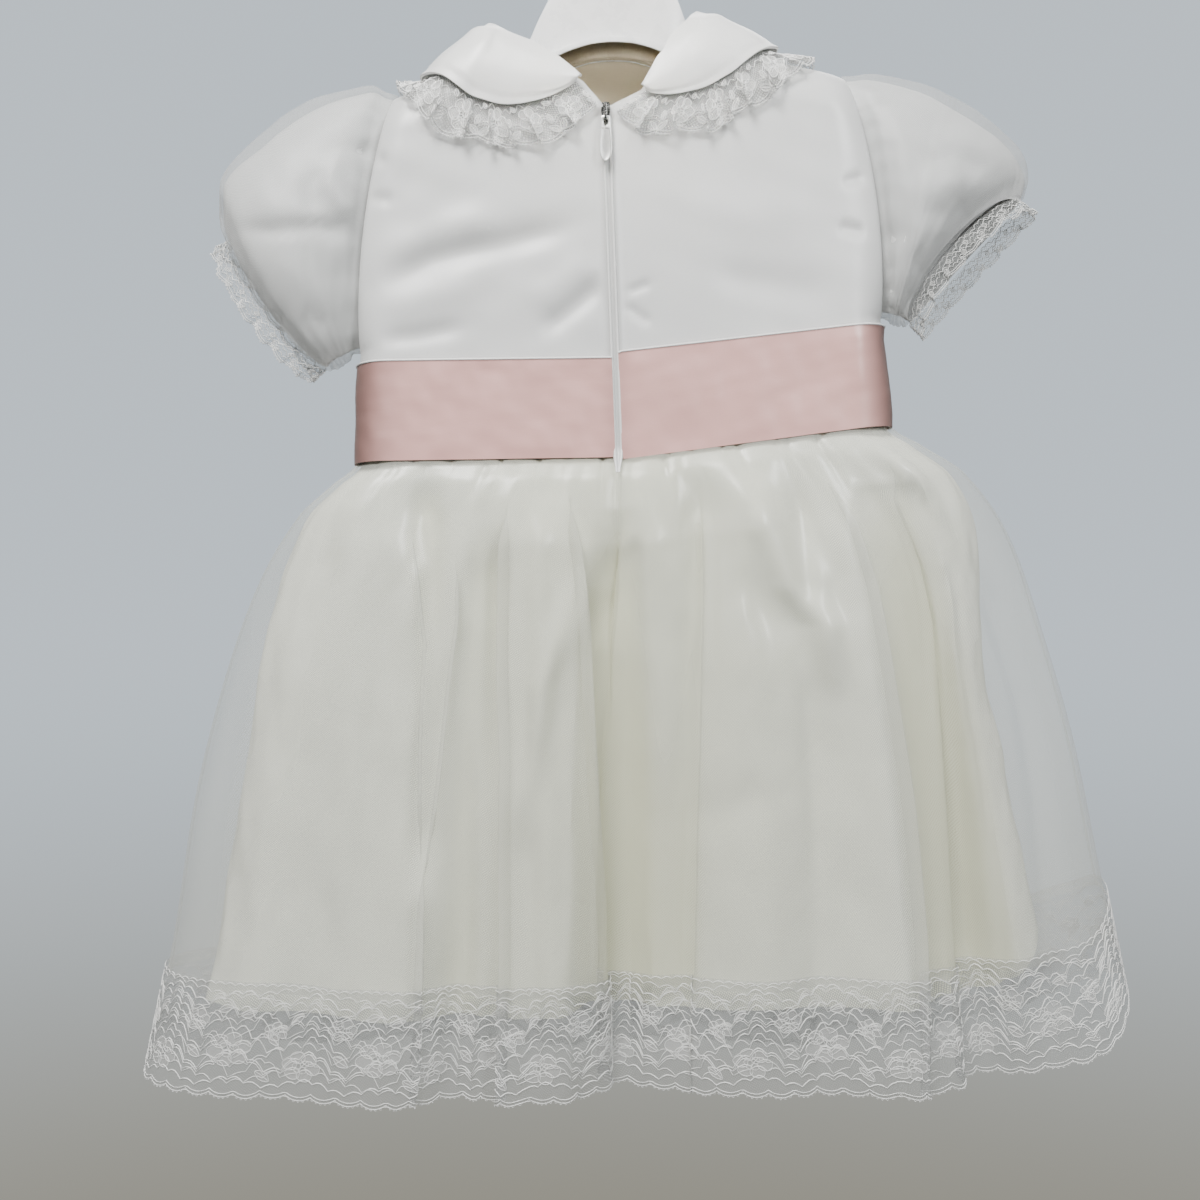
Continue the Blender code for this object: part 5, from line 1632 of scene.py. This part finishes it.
def pull(x=0.0, y=0.0, z=0.0):
    bpy.ops.mesh.extrude_region_move(TRANSFORM_OT_translate={"value": (x * mm, y * mm, z * mm)})


def scaleAbout(centre, x=1.0, y=1.0, z=1.0):
    bpy.ops.transform.resize(value=(x, y, z), center_override=inMetres(centre))


def cutAcross(height):
    selectAll()
    bpy.ops.mesh.bisect(plane_co=(0.0, 0.0, height * mm), plane_no=(0.0, 0.0, 1.0))


def bevelled(piece, width, segments, limit):
    rounding = piece.modifiers.new("edges", "BEVEL")
    rounding.width, rounding.segments, rounding.angle_limit = width * mm, segments, math.radians(limit)


def finished(piece, materials, nodes, body="gown", edge=0.0, cuts=2, limit=40.0):
    selectAll()
    bpy.ops.mesh.remove_doubles(threshold=0.00001)
    bpy.ops.mesh.normals_make_consistent(inside=False)
    bpy.ops.object.mode_set(mode="OBJECT")
    for material in materials:
        piece.data.materials.append(material)
    if edge:
        bevelled(piece, edge, cuts, limit)
    applyModifiers(piece)
    bpy.ops.object.shade_smooth_by_angle(angle=math.radians(limit))
    return dressed(piece, nodes, body)


hanger = {
    "body": table(
        ("x", "top", "bottom", "depth"),
        (-104, -152, -160, 5), (-95, -150, -161, 7.5), (-80, -138.6, -156, 9), (-66, -126.8, -150, 9),
        (-56, -125.5, -147.5, 9), (-46, -126.5, -145, 9), (-44, -125.5, -144, 9),
        (-38, -114, -139.5, 10.5), (-32.4, -103.5, -134.8, 12), (-26, -93.5, -131.2, 12.5),
        (-18, -87.2, -128, 12.5), (-9, -86, -125.6, 12.5), (0, -86, -124.8, 12.5),
        (9, -86, -125.2, 12.5), (18, -87.2, -127.2, 12.5), (27, -93.5, -130.6, 12.5),
        (33.6, -103.5, -134, 11.5), (39, -116, -137.5, 9), (42, -119, -139, 7.5),
        (45, -120, -140.5, 7.5), (56, -123, -143.5, 8), (83, -135.8, -152, 9),
        (100, -139.6, -152.5, 7.5), (112, -142.2, -151, 5),
    ),
    "columns": 72, "rows": 6, "lip": 3.0, "lipOut": 0.7, "wall": 2.4, "roll": 1.8, "boss": 0.8,
    "tube": 3.6, "foot": -88.0, "easeUp": -55.65, "easeRadius": 14.0, "easeRun": 18.6, "ring": 21.6,
    "ringStart": 42.0, "ringTurn": 238.0,
}


def makeHangerBody(plastic, paintedShade):
    # one flange as a sheet, copied to the other side, bridged and given its wall
    body, lip, rows = hanger["body"], hanger["lip"], hanger["rows"]
    first, last = body["x"][0], body["x"][-1]
    piece = begin(bpy.ops.mesh.primitive_grid_add, "hanger_body_plastic", x_subdivisions=hanger["columns"],
                  y_subdivisions=rows, size=1.0, rotation=(math.pi / 2, 0.0, 0.0))
    selectAll()
    scaleAbout((0, 0, 0), (last - first) * mm, 1.0, rows * lip * mm)
    push((first + last) / 2, 0.0, rows * lip / 2)
    pick(piece, "FACE", lambda at, out: at.z < lip)
    pull(y=-hanger["lipOut"])
    for x in np.linspace(first, last, hanger["columns"] + 1):
        top, bottom, depth = (float(readSmooth(body, "x", x, name)) for name in ("top", "bottom", "depth"))
        pick(piece, "VERT", lambda at, out: abs(at.x - x) < 0.2 and at.z > 0.5 * lip)
        scaleAbout((x, 0.0, lip), z=(top - bottom - lip) / ((rows - 1) * lip))
        pick(piece, "VERT", lambda at, out: abs(at.x - x) < 0.2)
        push(0.0, hanger["lipOut"] - depth, bottom)
    pick(piece, "VERT", lambda at, out: at.z > -101 and abs(at.x) < 7)
    push(y=-hanger["boss"], use_proportional_edit=True, proportional_size=0.016,
         proportional_edit_falloff="SMOOTH")
    selectAll()
    bpy.ops.mesh.duplicate()
    scaleAbout((0, 0, 0), y=-1.0)
    bpy.ops.mesh.select_mode(type="EDGE")
    bpy.ops.mesh.select_all(action="DESELECT")
    data = bmesh.from_edit_mesh(piece.data)
    for edge in data.edges:
        ends = [v.co / mm for v in edge.verts]
        under = all(abs(end.z - readSmooth(body, "x", end.x, "bottom")) < 0.2 for end in ends)
        edge.select_set(edge.is_boundary and not under)
    data.select_flush_mode()
    bmesh.update_edit_mesh(piece.data)
    bpy.ops.mesh.bridge_edge_loops()
    selectAll()
    bpy.ops.mesh.normals_make_consistent(inside=False)
    bpy.ops.object.mode_set(mode="OBJECT")
    for material in (plastic, paintedShade):
        piece.data.materials.append(material)
    bevelled(piece, hanger["roll"], 4, 70)
    wall = piece.modifiers.new("wall", "SOLIDIFY")
    # the inner walls take the tan plastic: painted shade inside the channel
    wall.thickness, wall.offset, wall.material_offset = hanger["wall"] * mm, -1.0, 1
    wall.use_even_offset = False
    applyModifiers(piece)
    bpy.ops.object.mode_set(mode="EDIT")
    return finished(piece, [], ["hanger_body"], edge=0.35, limit=38.0)


def makeHook(plastic):
    # a round section pulled up the stem, turned over to the side and spun round
    around, ease, start = hanger["ring"], hanger["easeRadius"], math.radians(hanger["ringStart"])
    piece = begin(bpy.ops.mesh.primitive_circle_add, "hanger_hook_plastic", vertices=24,
                  radius=hanger["tube"] * mm, fill_type="NGON", location=(0.0, 0.0, hanger["foot"] * mm))
    selectAll()
    pull(z=hanger["easeUp"] - hanger["foot"])
    bpy.ops.mesh.spin(steps=10, angle=-start, center=inMetres((ease, 0.0, hanger["easeUp"])),
                      axis=(0.0, 1.0, 0.0))
    pull(x=hanger["easeRun"] * math.sin(start), z=hanger["easeRun"] * math.cos(start))
    middle = (0.0, 0.0, hanger["tube"] - around)
    bpy.ops.mesh.spin(steps=64, angle=math.radians(hanger["ringTurn"]), center=inMetres(middle),
                      axis=(0.0, 1.0, 0.0))
    end = math.radians(hanger["ringTurn"] - hanger["ringStart"])
    wayX, wayZ = -math.sin(end), math.cos(end)
    x, z = around * math.cos(end), middle[2] + around * math.sin(end)
    for k in range(1, 6):  # the rounded tip
        turn, before = math.pi / 2 * k / 5.4, math.pi / 2 * (k - 1) / 5.4
        step = hanger["tube"] * (math.sin(turn) - math.sin(before))
        pull(x=wayX * step, z=wayZ * step)
        x, z = x + wayX * step, z + wayZ * step
        share = math.cos(turn) / math.cos(before)
        scaleAbout((x, 0.0, z), share, share, share)
    return finished(piece, [plastic], ["hanger_hook"], limit=50.0)


zipParts = {
    "x": -3.2, "top": -160.2, "length": 10.4, "width": 4.6, "back": -22.6, "face": -25.4, "narrow": 0.72,
    "bridgeWidth": 1.3, "bridgeWall": 0.9, "bridgeOut": 3.6,
    "pivot": (-3.2, -27.0, -168.0), "pullWall": 1.0, "bar": 0.8, "eye": (1.2, 2.3), "rim": 0.45,
    "recess": 0.28, "recessWall": 0.1,
    "pull": table(("down", "half"), (0, 1.6), (0.5, 2.15), (3, 2.25), (7, 2.35), (11, 2.7), (15, 2.98),
                  (18.5, 2.8), (21, 1.9), (22, 1.05), (22.4, 0.5)),
    "tooth": (1.2, 0.7, 0.55), "toothPitch": 1.0, "teeth": 9, "toothLow": -169.5,
    "tapeTop": -160.6, "tapeEnd": -330.6, "tapeDepth": -20.4,
    "tape": table(("x", "rise"), (-8, 0), (-4, 0), (-1.5, 0), (-1, 0.9), (-0.4, 1.2), (0.4, 1.2), (1, 0.9),
                  (1.5, 0), (4, 0), (8, 0)),
    "placketTop": -166.0, "placketEnd": -344.5, "placketSeat": -21.6,
}


def makeSlider(nickel):
    look = zipParts
    middleX, top, bottom = look["x"], look["top"], look["top"] - look["length"]
    middle = (middleX, (look["back"] + look["face"]) / 2, (top + bottom) / 2)
    piece = begin(bpy.ops.mesh.primitive_cube_add, "zip_slider_body", size=mm, location=inMetres(middle))
    selectAll()
    scaleAbout(middle, look["width"], look["back"] - look["face"], look["length"])
    for share in (0.12, 0.38, 0.7):
        cutAcross(top - look["length"] * share)
    for share, wide in ((0.0, 0.74), (0.12, 0.96), (0.7, 0.8), (1.0, look["narrow"])):
        height = top - look["length"] * share
        pick(piece, "VERT", lambda at, out: abs(at.z - height) < 0.1)
        scaleAbout(middle, x=wide)
    pick(piece, "FACE", lambda at, out: out.y < -0.9)
    bpy.ops.mesh.inset(thickness=0.5 * mm, depth=-0.22 * mm)
    # the bridge: a bar with a leg at each end
    foot, out = look["face"] + 0.8, look["face"] - look["bridgeOut"]
    high, low, wall = top - 1.2, bottom + 0.9, look["bridgeWall"]
    bar = (middleX, out + wall / 2, (high + low) / 2)
    data = bmesh.from_edit_mesh(piece.data)
    for part in data.verts:
        part.hide_set(True)
    bmesh.update_edit_mesh(piece.data)
    bpy.ops.mesh.primitive_cube_add(size=mm, location=inMetres(bar))
    scaleAbout(bar, look["bridgeWidth"], wall, high - low)
    cutAcross(high - wall)
    cutAcross(low + wall)
    leg = (high - low) / 2 - wall
    pick(piece, "FACE", lambda at, way: at.y < foot - 2.0 and way.y > 0.9 and abs(at.z - bar[2]) > leg)
    pull(y=foot - out - wall)
    bpy.ops.mesh.reveal()
    return finished(piece, [nickel], ["zip_slider"], edge=0.22, cuts=3, limit=30.0)


def makePull(nickel):
    look, rows = zipParts, zipParts["pull"]
    x0, y0, z0 = look["pivot"]
    downs = np.concatenate([[0.0, 0.5], np.linspace(1.5, 20.0, 26), [21.0, 21.6, 22.0, 22.4]])
    piece = begin(bpy.ops.mesh.primitive_plane_add, "zip_pull_tab", size=mm,
                  rotation=(math.pi / 2, 0.0, 0.0), location=inMetres((x0, y0 - look["pullWall"] / 2, z0)))
    pick(piece, "VERT", lambda at, out: at.z > z0)
    high = look["bar"] / 2
    push(z=high - 0.5)
    scaleAbout((x0, y0, z0), x=2 * float(rows["half"][0]))
    pick(piece, "VERT", lambda at, out: at.z < z0 - 0.2)
    push(z=0.5 + high - float(downs[1]))
    half = float(rows["half"][1])
    scaleAbout((x0, y0, z0), x=2 * half)
    for before, down in zip(downs[1:-1], downs[2:]):
        pull(z=float(before - down))
        wide = float(readSmooth(rows, "down", down, "half"))
        scaleAbout((x0, y0, z0), x=wide / half)
        half = wide
    selectAll()
    pull(y=look["pullWall"])
    for sign in (-1.0, 1.0):  # a raised rim on both faces
        pick(piece, "FACE", lambda at, out: abs(at.y - y0) > 0.4 and (at.y - y0) * sign > 0
             and at.z < z0 - 5.4 and abs(out.y) > 0.9)
        for wall in (look["rim"], look["recessWall"]):
            bpy.ops.mesh.inset(thickness=wall * mm, use_boundary=True)
        push(y=-sign * look["recess"])
    selectAll()
    bpy.ops.mesh.normals_make_consistent(inside=False)
    bpy.ops.object.mode_set(mode="OBJECT")
    wide, tall = look["eye"]
    hole = (x0, y0, z0 - high - tall)
    eye = begin(bpy.ops.mesh.primitive_cylinder_add, "eye", vertices=32, radius=mm, depth=4 * mm,
                rotation=(math.pi / 2, 0.0, 0.0), location=inMetres(hole))
    selectAll()
    scaleAbout(hole, wide, 1.0, tall)
    bpy.ops.object.mode_set(mode="OBJECT")
    cut = piece.modifiers.new("eye", "BOOLEAN")
    cut.operation, cut.object = "DIFFERENCE", eye
    applyModifiers(piece)
    bpy.data.objects.remove(eye)
    bpy.ops.object.mode_set(mode="EDIT")
    return finished(piece, [nickel], ["zip_pull"], "pull_tab", edge=0.13, cuts=2, limit=35.0)


def makeTeeth(nickel):
    # one tooth of each side, copied down the open chain above the slider
    look = zipParts
    at, pitch = (look["x"] - 1.0, look["back"] - 0.35, look["toothLow"]), look["toothPitch"]
    piece = begin(bpy.ops.mesh.primitive_cube_add, "zip_teeth", size=mm, location=inMetres(at))
    selectAll()
    scaleAbout(at, *look["tooth"])
    pick(piece, "FACE", lambda spot, out: out.x > 0.9)
    scaleAbout(at, z=0.7)
    pull(x=0.4)
    selectAll()
    bpy.ops.mesh.duplicate()
    push(0.0, 0.0, pitch / 2)
    scaleAbout((look["x"], at[1], at[2]), x=-1.0)
    for k in range(1, look["teeth"]):
        pick(piece, "VERT", lambda spot, out: spot.z < at[2] + pitch)
        bpy.ops.mesh.duplicate()
        push(0.02 * k, 0.0, pitch * k)
    return finished(piece, [nickel], [], edge=0.12, cuts=1, limit=30.0)


def makeTape(tape, satin):
    look, towardsBack = zipParts, np.array((0.0, -1.0, 0.0))
    z = np.linspace(look["tapeTop"], look["tapeEnd"], 90)[None, :]
    across, rise = (look["tape"][name][:, None] for name in ("x", "rise"))
    points = np.stack(np.broadcast_arrays(centreBack(z) + across, look["tapeDepth"] - rise, z), axis=-1)
    band = gridMesh("zip_tape_band", points, towardsBack, [tape])
    thickened(band, 0.7)
    dressed(band, ["zip_tape"])
    declared(band, (0.018, 0.17), layers=2)
    # the two rolled edges that meet over the chain, down past the sash
    profile = ((-2.6, -21.6), (-2.35, -22.5), (-2.15, -23.15), (-1.8, -23.5), (-1.4, -23.4), (-1.1, -22.9),
               (-0.85, -22.35), (-0.4, -22.1))
    profile = profile + tuple((-x, y) for x, y in profile[::-1])
    z = np.linspace(look["placketTop"], look["placketEnd"], 150)
    down = np.clip((skirtTop - z) / (skirtTop - skirtEnd), 0.0, 1.0)
    onTulle = onSkirt(0.0, down, 0.0, skirtDetail(0.0, down))[..., 1]
    shift = np.where(z < -334.0, np.minimum(onTulle + 21.2, 0.0), 0.0)
    shift = np.convolve(np.pad(shift, 4, mode="edge"), np.ones(9) / 9, mode="valid")
    ending = smooth((z - look["placketEnd"]) / 9.0)
    narrowed, seat = 0.45 + 0.55 * ending, look["placketSeat"]
    rows = [np.stack([centreBack(z) + x * narrowed, (y - seat) * ending + seat + shift, z], axis=-1)
            for x, y in profile]
    placket = gridMesh("zip_placket", np.stack(rows), towardsBack, [satin])
    # painted shade in the grooves beside the two rolled edges
    grooveShade = np.array((1.0, 0.8, 0.25, 0.0, 0.0, 0.25, 0.75, 1.0))
    withPaintedShade(placket, np.concatenate([grooveShade, grooveShade[::-1]])[:, None] + 0.0 * z[None, :])
    thickened(placket, 0.4)
    dressed(placket, [])
    print("zip ready")


def main():
    setRoom()
    ivory, bodiceCloth, collarCloth, pink, lining = map(
        satinMaterial, ("ivorySatin", "bodiceSatin", "collarSatin", "pinkSatin", "liningWarmShade"))
    tulle, organza = sheerMaterial("ivoryTulle"), sheerMaterial("ivoryOrganza")
    lace = (sheerMaterial("laceNetShadeGrey"), threadMaterial("laceThread", (0.90, 0.90, 0.885)),
            sheerMaterial("laceFill"))
    hemLace = (sheerMaterial("hemNetShadeGrey"), threadMaterial("hemThread", (0.83, 0.83, 0.81)),
               sheerMaterial("hemFill"))
    dark = nickelMaterial("darkNickel", (0.22, 0.22, 0.21), 0.24)
    makeSkirt(ivory, tulle)
    makeHemLace(hemLace)
    makeBodice(bodiceCloth, lining, pink, collarCloth)
    makeSleeves(bodiceCloth, organza, hemLace)
    makeCollar(collarCloth, lace)
    makeTape(tapeMaterial(), collarCloth)
    makeSlider(dark)
    makePull(nickelMaterial("nickel", (0.66, 0.66, 0.64), 0.34))
    makeTeeth(dark)
    plastic = plasticMaterial("whitePlastic", (0.84, 0.85, 0.85))
    # a tan plastic for the painted shade inside the hanger's channel
    makeHangerBody(plastic, plasticMaterial("paintedShadePlastic", (0.60, 0.53, 0.40)))
    makeHook(plastic)
    print("hanger ready")
    total = 0
    for piece in bpy.data.objects:
        if piece.type == "MESH" and not piece.hide_render:
            count = sum(len(face.vertices) - 2 for face in piece.data.polygons)
            total += count
            if count > 30000:
                print("  ", piece.name, count)
    print("triangles", total)


main()
